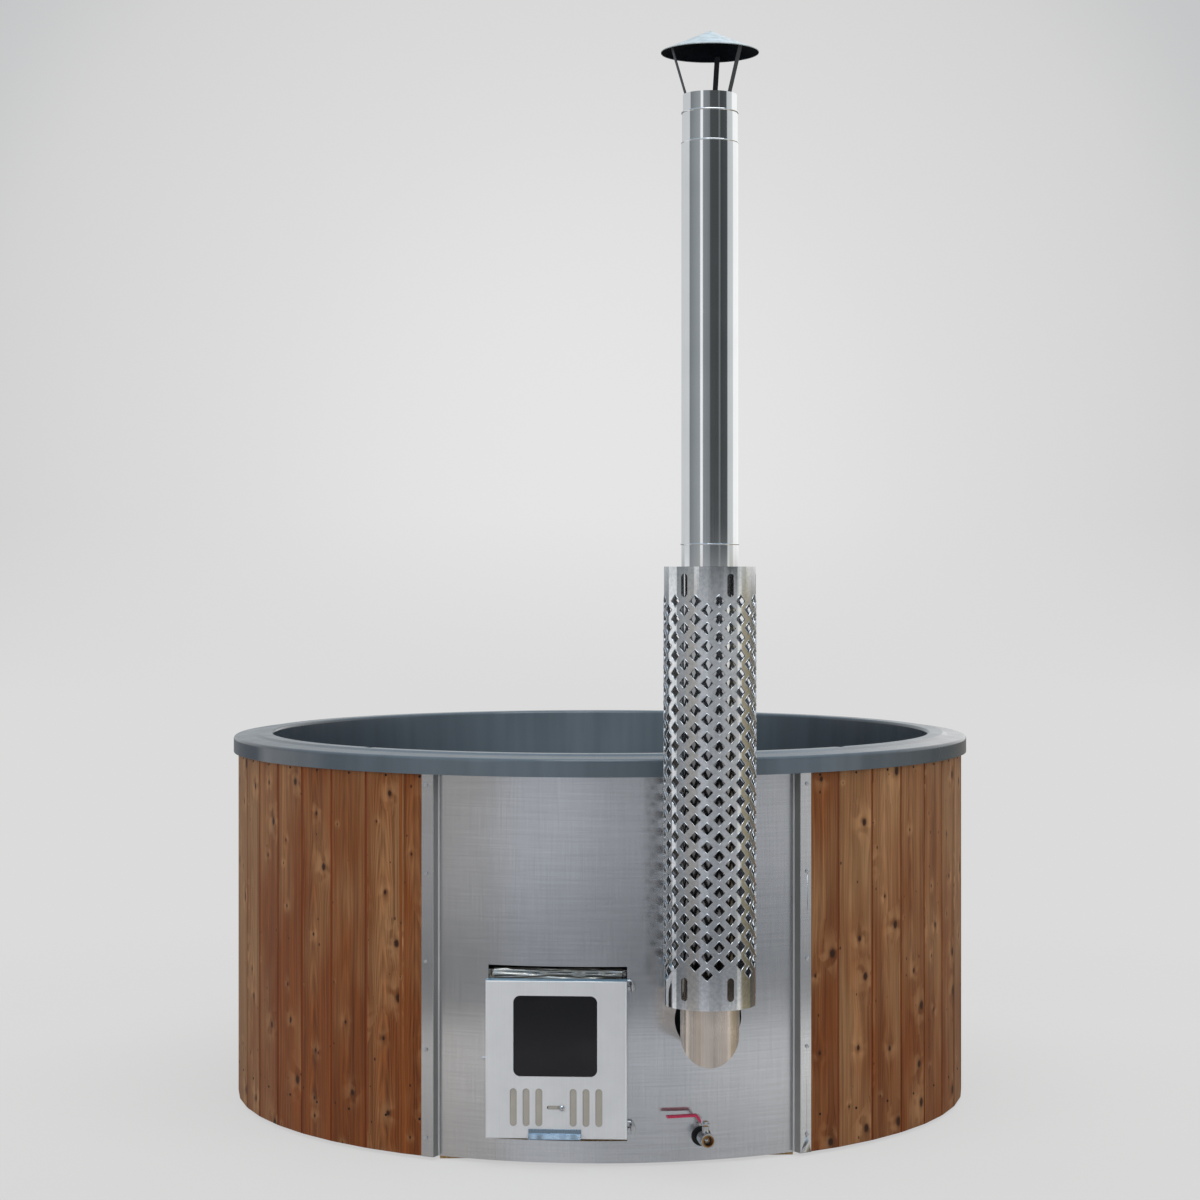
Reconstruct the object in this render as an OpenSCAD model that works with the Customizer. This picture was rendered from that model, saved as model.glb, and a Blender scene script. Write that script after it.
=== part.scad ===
// Round wooden hot tub with a built-in wood stove, a perforated flue guard and a drain valve.
// Millimetres, +Z up, the origin on the tub's axis at ground level, the steel front panel towards -Y.

/* [Tub] */
// Radius from the tub's axis to the outer face of the boards
tub_r = 970; // [900:5:1040]
// Height of the rim's crown above the ground
tub_h = 964; // [900:2:1060]
// How far the rim's skirt stands out past the boards
rim_overhang = 14; // [10:1:30]
// Height of the rim's skirt
rim_skirt = 42; // [30:1:60]
// Fall of the rim's top from its crown to its outer edge
rim_fall = 8; // [5:1:14]
// Width of the rim from the boards' face in to the opening
rim_width = 90; // [80:5:130]
// Width of the raised band round the opening
rim_band = 42; // [30:1:60]
// Wall of the liner
shell_t = 7; // [5:0.5:9]
// Height of the bench above the ground
bench_h = 470; // [465:1:520]
// How far the wall leans in from the opening down to the bench
wall_lean = 18; // [10:1:50]
// Distance between the foot well and the stove's back
well_gap = 40; // [35:5:100]
// Angle of the two notches in the rim's band, each side of the middle
notch_angle = 40; // [34:1:50]
// Width of a notch
notch_w = 17; // [12:1:24]
// Depth of a notch
notch_d = 9; // [5:1:12]
// Turn of the liner against the panel, in degrees
liner_turn = -1.6; // [-4:0.2:4]

/* [Cladding] */
// Width that one board covers
board_cover = 116.4; // [100:0.2:130]
// Thickness of the boards
board_t = 22; // [18:0.5:26]
// Width of the sunk seam between two boards
seam_w = 7; // [5:0.5:10]
// Gap between the boards and the ground
board_lift = 8; // [5:1:20]
// Height of the lower row of nails
nail_low = 95; // [70:1:110]
// How far the upper row of nails lies below the rim's crown
nail_drop = 57; // [54:1:64]

/* [Front panel] */
// Half of the angle that the steel panel spans
panel_half = 26.7; // [25.5:0.1:28]
// Thickness of the panel's sheet
panel_t = 1; // [0.8:0.1:1.5]
// Thickness of the edge trims
trim_t = 1.5; // [1:0.1:2]
// Width of the trim on the boards
trim_w = 31; // [24:1:36]
// Height of the lowest trim screw
screw_low = 53; // [50:1:60]
// Distance from the trim's upper end down to the highest trim screw
screw_end = 57.2; // [50:0.2:70]

/* [Frame] */
// Height of the base beams, laid flat
base_h = 45; // [40:1:60]
// Width of the base beams
beam_w = 70; // [60:1:95]
// Distance from the boards' back to the middle of the outermost beam
beam_edge = 138; // [120:1:160]
// Thickness of the hoops, measured outwards
hoop_t = 30; // [24:1:34]
// Height of the lower hoop
low_hoop_h = 75; // [66:1:90]
// Height of the upper hoop
top_hoop_h = 52; // [48:1:58]
// Side of the square studs
stud_w = 45; // [38:1:48]

/* [Stove] */
// Turn of the stove against the panel's middle, in degrees
stove_turn = -6; // [-8:0.5:-4]
// Distance from the stove's front plate out to the boards' face
stove_inset = 130; // [124:1:140]
// Depth of the stove
stove_depth = 300; // [280:5:305]
// Left side of the stove, measured from the tub's axis
stove_left = -235; // [-250:1:-228]
// Right side of the fire chamber
stove_right = 150; // [145:1:158]
// Right side of the smoke channel
smoke_right = 412; // [405:1:420]
// Underside of the smoke channel
smoke_bottom = 240; // [220:1:245]
// Top of the stove
stove_top = 450; // [446:1:456]
// Thickness of the heat board under the stove
heat_board_t = 15; // [10:1:18]
// Sheet of the water jacket
jacket_t = 3; // [2:0.5:4]
// Wall of the firebox
firebox_t = 4; // [3:0.5:6]
// Water space between jacket and firebox
water_gap = 22; // [18:1:24]
// Outside radius of the pipes between stove and foot well
water_pipe_r = 28; // [20:1:30]
// Wall of those pipes
water_pipe_t = 2; // [1.5:0.5:3]
// Height of the lower water pipe
water_pipe_low = 118; // [116:1:130]
// Height of the upper water pipe
water_pipe_top = 400; // [380:1:404]

/* [Door] */
// Middle of the door, measured from the tub's axis
door_u = -46.7; // [-52:0.5:-42]
// Width of the door
door_w = 330; // [320:1:336]
// Height of the door
door_h = 368; // [362:1:374]
// Underside of the door above the ground
door_z = 72; // [70:1:76]
// Depth of the door's folded edge
door_d = 33; // [31:0.5:36]
// How far the door's front face stands out past the boards' face
door_stand = 13.8; // [13:0.2:16]
// Sheet of the door
door_t = 2; // [1.5:0.5:3]
// Width of the window
window_w = 196; // [180:1:200]
// Height of the window
window_h = 188; // [180:1:192]
// Middle of the window above the ground
window_z = 311; // [309:1:313]
// Corner radius of the window
window_r = 16; // [8:1:24]
// Thickness of the glass
glass_t = 4; // [3:0.5:5]
// Width of an air slot
slot_w = 16; // [12:1:17]
// Height of an air slot
slot_h = 88; // [70:1:90]
// Middle of the air slots above the ground
slot_z = 145; // [144:1:146]
// Distance between air slots
slot_pitch = 30; // [28:1:32]
// Distance between the inner air slots
slot_gap = 80; // [74:1:84]
// Travel of the air slide
slide_travel = 30; // [20:1:30]
// Length of the handle
handle_l = 123; // [90:1:150]
// Reach of the handle out from the door
handle_out = 19; // [12:1:24]

/* [Flue] */
// Flue axis, measured sideways from the tub's axis
flue_u = 312.4; // [310:0.2:316]
// Flue axis, measured outwards from the boards' face
flue_stand = 95; // [90:1:110]
// Height of the flue's horizontal stretch
flue_z = 337; // [335:1:344]
// Outside radius of the flue pipe
flue_r = 65; // [60:1:66]
// Sheet of the flue
flue_t = 1.5; // [1:0.1:2]
// Height of the joint between the two flue pipes
flue_joint_z = 1454; // [1430:2:1500]
// Height of the joint under the top collar
flue_top_z = 2372; // [2200:1:2500]
// Height of the top collar
collar_h = 112; // [90:2:140]
// Radius of the rain hat
hat_r = 112; // [100:1:125]
// Height of the rain hat's cone
hat_h = 49; // [30:1:60]
// Gap between the collar and the rain hat's edge
hat_gap = 98; // [70:1:110]

/* [Heat guard] */
// Length of the heat guard
guard_h = 1000; // [800:10:1040]
// Gap between the elbow and the underside of the heat guard
guard_gap = 0.5; // [0.3:0.1:10]
// Outside radius of the heat guard
guard_r = 105; // [95:1:108]
// Sheet of the heat guard
guard_t = 1; // [0.8:0.1:1.5]
// Rows of diamonds
diamond_rows = 42; // [10:2:42]
// Distance between rows of diamonds
diamond_pitch = 20.5; // [20:0.1:21]
// Corner-to-corner size of a diamond
diamond_w = 27; // [16:0.5:28]
// Height of the end slots
guard_slot_h = 53; // [40:1:56]
// Width of the end slots
guard_slot_w = 17; // [12:1:20]

/* [Drain] */
// Angle of the drain valve from the panel's middle
valve_turn = 11.75; // [11:0.25:13]
// Height of the drain pipe
drain_z = 66; // [66:0.5:67]
// Outside radius of the drain pipe
drain_r = 13.5; // [12:0.5:13.5]
// Wall of the drain pipe
drain_t = 2.5; // [2:0.5:3]
// How far the valve's mouth stands out past the boards' face
valve_stand = 40; // [38:1:46]
// Length of the valve
valve_l = 55; // [54:1:56]
// Length of the lever from the stem
lever_l = 93; // [70:1:100]

/* [Hidden] */
$fn = 96;

wood = "#7D5437";
wood_dark = "#5E3B25";
pine = "#C9A574";
grp = "#5B646B";
steel = "#8C8D8E";
bright = "#B4B7BC";
brass = "#B08D57";
black = "#1C1C1E";
red = "#C2183A";

// Small clearances that every fit takes its size from
seat_gap = 0.3;
pin_fit = 0.06;
round_off = 0.05;
eps = 0.01;
over = 5;

// Levels and radii that follow from the driving sizes
rim_r = tub_r + rim_overhang;
opening_r = tub_r - rim_width;
bench_wall_r = opening_r - wall_lean;
stove_front = tub_r - stove_inset;
stove_back = stove_front - stove_depth;
well_r = stove_back - well_gap;
door_front = tub_r + door_stand;
flue_w = tub_r + flue_stand;
valve_front = tub_r + valve_stand;
skirt_z = tub_h - rim_fall - rim_skirt;
deck_rise = 35;
deck_z = skirt_z + deck_rise;
floor_top = base_h + shell_t;
frame_r = tub_r - board_t;
edge_round = 8;
well_fillet = 20;
bench_round = 25;
bench_fillet = 60;
band_step = 4;
band_slope = 12;
arc_steps = 8;

// Boards round the tub: whole ones from the right trim on, then the rest as one ripped board, or as two
// where one would be too narrow
board_angle = 2 * atan(board_cover / 2 / tub_r);
clad_span = 360 - 2 * panel_half;
whole_fit = floor(clad_span / board_angle);
least_ripped = 40;
rest_is_narrow = 2 * tub_r * tan((clad_span - whole_fit * board_angle) / 2) < least_ripped;
full_boards = whole_fit - (rest_is_narrow ? 1 : 0);
ripped_boards = rest_is_narrow ? 2 : 1;
ripped_angle = (clad_span - full_boards * board_angle) / ripped_boards;
ripped_w = 2 * tub_r * tan(ripped_angle / 2);
board_count = full_boards + ripped_boards;
clad_groups = 5;
group_size = ceil(board_count / clad_groups);
side_gap = 1.6;
board_bevel = 1.5;
tongue_lo = 8;
tongue_hi = 13;
tongue_l = 4.5;
seam_d = 4.5;
step_gap = 1.4;
groove_lo = 6.5;
groove_hi = 14.5;
groove_d = 8;
board_gap = 4;
board_top = deck_z - board_gap;
nail_top = tub_h - nail_drop;
nail_head_r = 3;
nail_head_h = 0.8;
nail_r = 1.4;
nail_past = 20;
nail_l = board_t + nail_past;

// Trim and screws
screw_count = 5;
screw_pitch = (board_top - screw_end - screw_low) / (screw_count - 1);
screw_r = 2;
screw_head_r = 4.5;
screw_head_h = 2.5;
screw_l = board_t + nail_past;
screw_x = 18;

// Frame
beam_count = 7;
beam_pitch = 2 * (frame_r - beam_edge) / (beam_count - 1);
beam_gap = 4;
top_hoop_z = deck_z - top_hoop_h;
stud_gap = 0.4;
stud_count = 9;
stud_first = panel_half + 0.9;

// Stove
stove_z = base_h + heat_board_t;
firebox_in = jacket_t + water_gap;
chamber_in = firebox_in + firebox_t;
plate_w = stove_front - firebox_t;
rope_room = 9.8;
rope_gap = 0.4;
rope_r = (rope_room - rope_gap) / 2;
rope_corner = 14;
neck_in = 13;
neck_over = 3;
neck_w = door_w - 2 * neck_in;
neck_z0 = door_z + neck_in;
neck_z1 = stove_top - chamber_in + neck_over;
neck_front = door_front - door_t - rope_room;
neck_left = door_u - neck_w / 2;
neck_right = door_u + neck_w / 2;
opening_w = neck_w - 2 * firebox_t;
opening_z0 = neck_z0 + firebox_t;
opening_z1 = neck_z1 - firebox_t;
cut_in = 1;
cut_below = 12;
cut_above = 28;
cut_back = 60;
cut_out = 20;
cut_reach = [frame_r - cut_back, frame_r + cut_out];
cut_z0 = door_z - cut_below;
cut_z1 = door_z + door_h + cut_above;
wrap_t = 22;
wrap_inset = 33;
wrap_front = frame_r - wrap_inset;
roll_r = 13;
roll_sink = 2;
roll_w = wrap_front + roll_r - roll_sink;
grate_side = 7;
grate_back = 25;
grate_front = 14;
grate_lift = 30;
grate_t = 8;
grate_bar = 12;
grate_slot = 12;
baffle_t = 4;
baffle_gap = 65;
flange_t = 6;
flange_w = 14;

// Sides of the door, and its hinge at the right
door_left = door_u - door_w / 2;
door_right = door_u + door_w / 2;
hinge_out = 12.7;
hinge_in = 29.8;
hinge_u = door_right + hinge_out;
hinge_w = door_front - hinge_in;
pintle_r = 2.5;
pintle_below = 3;
eye_bore_r = pintle_r + pin_fit;
eye_r = 6;
eye_h = 15;
eye_top_z = [door_z + 27, door_z + door_h - 11];
strap_h = 8;
strap_t = 6.5;
strap_back = 11;
strap_half = 4;
strap_w0 = hinge_w - strap_back;
bend_r = 6;
collar_r = 4.5;
collar_t = 2;

// Door furniture
window_u = door_u - 2;
pane_edge = 10;
gasket_t = 2;
pane_w = window_w + 2 * pane_edge;
pane_h = window_h + 2 * pane_edge;
sheet_back = door_front - door_t;
pane_front = sheet_back - gasket_t;
clip_t = 1.5;
clip_lip = 6;
clip_foot = 10;
clip_l = 15;
slide_t = 1.5;
slide_front = sheet_back - seat_gap;
slide_below = 2.6;
slide_above = 3.5;
slide_cover = 4;
slide_z0 = slot_z - slot_h / 2 - slide_below;
slide_z1 = slot_z + slot_h / 2 + slide_above;
slot_edge = slot_gap / 2 + 2 * slot_pitch + slot_w / 2;
slide_left = slot_edge + slide_cover;
slide_right = slide_left + slide_travel - 1;
slide_web = 3;
slide_end = 4;
slide_slot_w = slot_pitch / 2 - slide_web;
slide_slot_h = slot_h - 2 * slide_end;
guide_gap = 0.4;
guide_h = 4.8;
guide_lip = 3.5;
guide_t = 1.5;
guide_half = 128;
knob_r = 6.5;
knob_shank_r = 2.5;
knob_z = slot_z - 1;
knob_u = 13.5;
adjust_h = 9;
adjust_end = 4.5;
knob_t = 4;
handle_u = door_u - 3;
handle_t = 2;
handle_top = door_z + 23;
handle_flat = 11;
handle_end = door_z + 1;
stud_rise = 183;
stud_z = door_z + stud_rise;
stud_r = 3;
stud_w_at = door_front - 20.8;
stud_in = 5.5;
stud_out = 10;
clip_gap = 0.3;
prong_t = 1.5;
prong_w = 9.3;
prong_l = 23;
prong_past = 8;
foot_l = 10;
foot_half = 10;

// Flue
elbow_r = flue_r + 2.5;
elbow_rise = 132;
elbow_top = flue_z + elbow_rise;
guard_z = flue_z + elbow_r + guard_gap;
flue_overlap = 30;
flue_hole_r = elbow_r + 10.5;
flue_hole_up = 5;
flue_hole_left = 6.5;
bead_r = 1.5;
flue_inner = flue_r - flue_t;
collar_step = 1.4;
collar_r_low = flue_r - collar_step;
collar_r_top = collar_r_low - 2;
collar_mid = 71;
leg_w = 12;
leg_t = 1.5;
leg_count = 3;
leg_turn = 50;
leg_foot = 18;
leg_lean = 33;
leg_seat = 0.05;
leg_r = sqrt(pow(collar_r_top - flue_t, 2) - pow(leg_w / 2, 2)) - leg_seat;
leg_gap = 0.2;
hat_t = 1;
hat_z = flue_top_z + collar_h + hat_gap;

// Guard
guard_turn = -2.7;
guard_columns = 12;
column_angle = 360 / guard_columns;
guard_slot_end = 20;
guard_slot_top = 16;
row_top = 78;
row_first = guard_z + guard_h - row_top;
tab_w = 9;
tab_gap = 0.2;

// Valve
valve_back = valve_front - valve_l;
valve_centre = 25;
valve_mid = valve_front - valve_centre;
valve_r = 17;
hex_l = 14;
socket_l = 12;
drain_lip = 5;
valve_end_r = 18;
valve_end_l = 11;
mouth_r = 12;
ball_r = 13.5;
ball_bore = 8.5;
cavity_r = 14;
cavity_w0 = valve_mid - ball_r - 2;
spigot_l = 2;
ball_gap = 0.3;
boss_r = 8;
boss_top = drain_z + 24;
gland_h = 6;
gland_r = 8.5;
stem_r = 4.5;
stem_fit = 0.05;
stem_foot = drain_z + 9;
lever_z = boss_top + gland_h + 4;
lever_t = 2.5;
lever_w = 13;
lever_rise = 22;
lever_run = 15;
lever_foot = 9;
sleeve_t = 1.2;
nut_r = 7;
nut_h = 5;
grommet_r = 23;
grommet_t = 4;
locknut_r = 20;
locknut_t = 9;

// Places a child on the wall: x along the wall, -y outwards, at an angle from the front
module on_wall(angle, r) {
    rotate([0, 0, angle]) translate([0, -r, 0]) children();
}

// Frame of the stove: x sideways (u), -y outwards (w)
module in_stove() {
    rotate([0, 0, stove_turn]) children();
}

// A box given by its corners in sideways, outwards and upwards distances
module uwz_box(u, w, z) {
    translate([u[0], -w[1], z[0]]) cube([u[1] - u[0], w[1] - w[0], z[1] - z[0]]);
}

// A cylinder that runs outwards between two distances from the axis
module out_rod(u, z, w, r, fn = 64) {
    translate([u, -w[0], z]) rotate([90, 0, 0]) cylinder(r = r, h = w[1] - w[0], $fn = fn);
}

// A rectangle with round corners, centred
module soft_rect(w, h, r) {
    square([w - 2 * r, h], center = true);
    square([w, h - 2 * r], center = true);
    for (x = [-1, 1])
        for (y = [-1, 1])
            translate([x * (w / 2 - r), y * (h / 2 - r)]) circle(r = r, $fn = 48);
}

// A round-cornered plate that faces outwards, centred on u and z
module soft_plate(u, z, size, r, w) {
    translate([u, -w[0], z]) rotate([90, 0, 0]) linear_extrude(height = w[1] - w[0])
        soft_rect(size[0], size[1], r);
}

function arc(c, r, a0, a1) =
    [for (i = [0 : arc_steps]) let (a = a0 + (a1 - a0) * i / arc_steps) c + r * [cos(a), sin(a)]];

// Section of the liner: wet side from the floor's middle up, over the rim and back down outside
liner_section = concat(
    [[0, floor_top]],
    arc([well_r - well_fillet, floor_top + well_fillet], well_fillet, -90, 0),
    arc([well_r + bench_round, bench_h - bench_round], bench_round, 180, 90),
    arc([bench_wall_r - bench_fillet, bench_h + bench_fillet], bench_fillet, -90, 0),
    arc([opening_r + edge_round, tub_h - edge_round], edge_round, 180, 90),
    [[opening_r + rim_band, tub_h], [opening_r + rim_band + band_slope, tub_h - band_step]],
    arc([rim_r - edge_round, tub_h - rim_fall - edge_round], edge_round, 85, 0),
    [[rim_r, skirt_z], [rim_r - shell_t, skirt_z], [rim_r - shell_t, deck_z], [opening_r + shell_t, deck_z]],
    arc([bench_wall_r - bench_fillet, bench_h + bench_fillet], bench_fillet + shell_t, 0, -90),
    arc([well_r + bench_round, bench_h - bench_round], bench_round - shell_t, 90, 180),
    arc([well_r - well_fillet, floor_top + well_fillet], well_fillet + shell_t, 0, -90),
    [[0, base_h]]);

// Moulded liner with rim, bench and foot well
module liner() {
    color(grp) difference() {
        rotate_extrude($fn = 180) polygon(liner_section);
        for (side = [-1, 1])
            on_wall(liner_turn + side * notch_angle, opening_r)
                translate([-notch_w / 2, -rim_band * 0.6, tub_h - notch_d])
                    cube([notch_w, rim_band, notch_d + over]);
        in_stove() {
            for (z = [water_pipe_low, water_pipe_top])
                out_rod(0, z, [well_r - over, well_r + shell_t + over], water_pipe_r);
        }
        rotate([0, 0, valve_turn])
            out_rod(0, drain_z, [well_r - 2 * well_fillet, well_r + shell_t + over], drain_r);
    }
}

// Steel front panel with the door cut-out, the flue hole and the valve hole
module front_panel() {
    color(steel) difference() {
        rotate([0, 0, -90 - panel_half]) rotate_extrude(angle = 2 * panel_half, $fn = 180)
            translate([frame_r, board_lift]) square([panel_t, board_top - board_lift]);
        in_stove() {
            uwz_box([door_left + cut_in, door_right - cut_in], cut_reach, [cut_z0, cut_z1]);
            out_rod(flue_u - flue_hole_left, flue_z + flue_hole_up, [stove_front, cut_reach[1]], flue_hole_r);
        }
        rotate([0, 0, valve_turn]) out_rod(0, drain_z, [frame_r - 20, frame_r + 20], valve_end_r);
    }
}

// Section of a board: x along the wall, y from its back to its face; the groove is on the left,
// and the step on the right fills the seam
function board_section(half) =
    let (back_l = -half + side_gap, back_r = half - side_gap, face_r = half + side_gap - seam_w)
    [[back_l, 0], [back_r, 0], [back_r, tongue_lo], [half + tongue_l, tongue_lo],
     [half + tongue_l, tongue_hi], [half + side_gap - step_gap, tongue_hi],
     [half + side_gap - step_gap, board_t - seam_d], [face_r, board_t - seam_d],
     [face_r, board_t - board_bevel], [face_r - board_bevel, board_t],
     [back_l + board_bevel, board_t], [back_l, board_t - board_bevel],
     [back_l, groove_hi], [back_l + groove_d, groove_hi],
     [back_l + groove_d, groove_lo], [back_l, groove_lo]];

// Cut edge of the ripped board, where its back meets the end of the panel
function cut_edge(half) = half * frame_r / tub_r;

// Section of the ripped board: the groove is on the left and the cut edge on the right
function ripped_section(half) =
    let (back_l = -half + side_gap, cut = cut_edge(half))
    [[back_l, 0], [cut, 0], [cut, board_t], [back_l + board_bevel, board_t], [back_l, board_t - board_bevel],
     [back_l, groove_hi], [back_l + groove_d, groove_hi],
     [back_l + groove_d, groove_lo], [back_l, groove_lo]];

function board_half(i) = (i < full_boards ? board_cover : ripped_w) / 2;
function board_turn(i) = panel_half + min(i, full_boards) * board_angle
    + (i < full_boards ? board_angle / 2 : (i - full_boards + 0.5) * ripped_angle);

module board(i) {
    half = board_half(i);
    on_wall(board_turn(i), frame_r) difference() {
        translate([0, 0, board_lift]) linear_extrude(height = board_top - board_lift) mirror([0, 1])
            polygon(i < board_count - 1 ? board_section(half) : ripped_section(half));
        for (z = [nail_low, nail_top])
            out_rod(0, z, [-over, board_t + over], nail_r, 24);
        for (side = [-1, 1])
            if (i == end_board(side))
                for (z = screw_heights)
                    out_rod(-side * (end_edge(side) - screw_x), z, [-over, board_t + over], screw_r, 24);
    }
}

screw_heights = [for (k = [0 : screw_count - 1]) screw_low + k * screw_pitch];

module cladding(group) {
    for (i = [group * group_size : min((group + 1) * group_size, board_count) - 1])
        color(i % 2 == 0 ? wood : wood_dark) board(i);
}

module cladding_1() { cladding(0); }
module cladding_2() { cladding(1); }
module cladding_3() { cladding(2); }
module cladding_4() { cladding(3); }
module cladding_5() { cladding(4); }

// Nails that fix each board to the hoops
module cladding_nails() {
    color(black)
        for (i = [0 : board_count - 1])
            for (z = [nail_low, nail_top])
                on_wall(board_turn(i), frame_r) {
                    out_rod(0, z, [board_t, board_t + nail_head_h], nail_head_r, 24);
                    out_rod(0, z, [board_t - nail_l, board_t], nail_r, 24);
                }
}

// Board that carries the trim on each side, the angle of its middle and the distance from there to its edge
function end_board(side) = side > 0 ? 0 : board_count - 1;
function end_turn(side) = board_turn(end_board(side));
function end_edge(side) = side > 0 ? board_half(0) : cut_edge(board_half(board_count - 1));

// Depth of the trim's inner leg, which ends just outside the panel
function leg_end(side) = tub_r - sqrt(pow(frame_r + panel_t + seat_gap, 2) - pow(end_edge(side), 2));

// Angle strip over the edge of the first or the last board
module trim(side) {
    on_wall(end_turn(side), tub_r) mirror([side > 0 ? 0 : 1, 0]) difference() {
        union() {
            translate([-end_edge(side) - trim_t, -trim_t, board_lift])
                cube([trim_w + trim_t, trim_t, board_top - board_lift]);
            translate([-end_edge(side) - trim_t, -trim_t, board_lift])
                cube([trim_t, leg_end(side) + trim_t, board_top - board_lift]);
        }
        for (z = screw_heights)
            out_rod(screw_x - end_edge(side), z, [-over, trim_t + over], screw_r, 24);
    }
}

module trim_left() { color(bright) trim(-1); }
module trim_right() { color(bright) trim(1); }

// Pan-head screws that hold both trims
module trim_screws() {
    color("#A5A8AC")
        for (side = [-1, 1])
            for (z = screw_heights)
                on_wall(end_turn(side), tub_r) mirror([side > 0 ? 0 : 1, 0]) {
                    out_rod(screw_x - end_edge(side), z, [trim_t, trim_t + screw_head_h], screw_head_r, 32);
                    out_rod(screw_x - end_edge(side), z, [trim_t - screw_l, trim_t], screw_r, 24);
                }
}

// Pilot holes of the nails and of the trim screws
module fixing_holes() {
    for (i = [0 : board_count - 1])
        for (z = [nail_low, nail_top])
            on_wall(board_turn(i), frame_r) out_rod(0, z, [board_t - nail_l, over], nail_r, 24);
    trim_holes();
}

module trim_holes() {
    for (side = [-1, 1])
        for (z = screw_heights)
            on_wall(end_turn(side), tub_r) mirror([side > 0 ? 0 : 1, 0])
                out_rod(screw_x - end_edge(side), z, [trim_t - screw_l, over], screw_r, 24);
}

// Beams on the ground that carry the liner, the stove and the hoops
module base_beams() {
    color(pine)
        for (k = [0 : beam_count - 1])
            let (y = (k - (beam_count - 1) / 2) * beam_pitch,
                 reach = sqrt(pow(frame_r - beam_gap, 2) - pow(abs(y) + beam_w / 2, 2)))
                translate([-reach, y - beam_w / 2, 0]) cube([2 * reach, beam_w, base_h]);
}

// Lower hoop, open behind the steel panel
module lower_hoop() {
    open_half = panel_half - 1.2;
    color(pine) difference() {
        rotate([0, 0, open_half - 90]) rotate_extrude(angle = 360 - 2 * open_half, $fn = 180)
            translate([frame_r - hoop_t, base_h]) square([hoop_t, low_hoop_h]);
        fixing_holes();
    }
}

// Upper hoop, all the way round under the rim
module upper_hoop() {
    color(pine) difference() {
        rotate_extrude($fn = 180) translate([frame_r - hoop_t, top_hoop_z]) square([hoop_t, top_hoop_h]);
        fixing_holes();
    }
}

// Posts between the hoops; the first and the last stand behind the trims
module wall_studs() {
    span = 360 - 2 * stud_first;
    color(pine) difference() {
        for (k = [0 : stud_count - 1])
            on_wall(stud_first + k * span / (stud_count - 1), frame_r - stud_gap)
                translate([-stud_w / 2, 0, base_h + low_hoop_h])
                    cube([stud_w, stud_w, top_hoop_z - base_h - low_hoop_h]);
        trim_holes();
    }
}

// Cement board between the stove and the beams
module heat_board() {
    color("#9A9A94") in_stove()
        uwz_box([stove_left - 10, stove_right], [stove_back - over, stove_front + over], [base_h, stove_z]);
}

// L-shaped outline of the stove, drawn in by a distance; it runs forwards to w1
module stove_shape(inset, w1) {
    uwz_box([stove_left + inset, stove_right - inset], [stove_back + inset, w1],
        [stove_z + inset, stove_top - inset]);
    uwz_box([stove_right - 2 * inset - 2 * over, smoke_right - inset], [stove_back + inset, w1],
        [smoke_bottom + inset, stove_top - inset]);
}

// Outer shell of the water jacket, open at the front
module stove_jacket() {
    color(steel) in_stove() difference() {
        stove_shape(0, stove_front);
        stove_shape(jacket_t, stove_front + over);
        for (z = [water_pipe_low, water_pipe_top])
            out_rod(0, z, [stove_back - over, stove_back + 2 * over], water_pipe_r - water_pipe_t);
    }
}

// Fire chamber and smoke channel with the front plate that closes the jacket
module firebox() {
    color("#6E6A66") in_stove() difference() {
        union() {
            stove_shape(firebox_in, plate_w + eps);
            intersection() {
                stove_shape(jacket_t, stove_front);
                uwz_box([stove_left, smoke_right], [plate_w, stove_front], [0, stove_top]);
            }
        }
        stove_shape(chamber_in, plate_w);
        uwz_box([door_u - opening_w / 2, door_u + opening_w / 2], [plate_w - over, stove_front + over],
            [opening_z0, opening_z1]);
        out_rod(flue_u, flue_z, [plate_w - over, stove_front + over], flue_inner);
    }
}

// Cast grate on four feet
module fire_grate() {
    u0 = stove_left + chamber_in + grate_side;
    u1 = stove_right - chamber_in - grate_side;
    w0 = stove_back + chamber_in + grate_back;
    w1 = stove_front - grate_front;
    z0 = stove_z + chamber_in + grate_lift;
    slots = floor((u1 - u0 - grate_bar) / (grate_bar + grate_slot));
    color("#3A3837") in_stove() {
        difference() {
            uwz_box([u0, u1], [w0, w1], [z0, z0 + grate_t]);
            for (k = [0 : slots - 1])
                uwz_box([u0 + grate_bar + k * (grate_bar + grate_slot),
                         u0 + (k + 1) * (grate_bar + grate_slot)],
                    [w0 + grate_bar, w1 - grate_bar], [z0 - over, z0 + grate_t + over]);
        }
        for (u = [u0, u1 - grate_bar])
            for (w = [w0, w1 - grate_bar])
                uwz_box([u, u + grate_bar], [w, w + grate_bar], [z0 - grate_lift, z0]);
    }
}

// Plate that sends the smoke round the back of the firebox
module smoke_baffle() {
    u0 = stove_right - chamber_in + 4;
    color("#4A4745") in_stove()
        uwz_box([u0, u0 + baffle_t], [stove_back + chamber_in + baffle_gap, plate_w],
            [smoke_bottom + chamber_in, stove_top - chamber_in]);
}

// Square neck from the firebox through the panel to the door
module door_neck() {
    color("#7C7A78") in_stove() difference() {
        uwz_box([door_u - neck_w / 2, door_u + neck_w / 2], [stove_front, neck_front], [neck_z0, neck_z1]);
        uwz_box([door_u - opening_w / 2, door_u + opening_w / 2], [stove_front - over, neck_front + over],
            [opening_z0, opening_z1]);
    }
}

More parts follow.
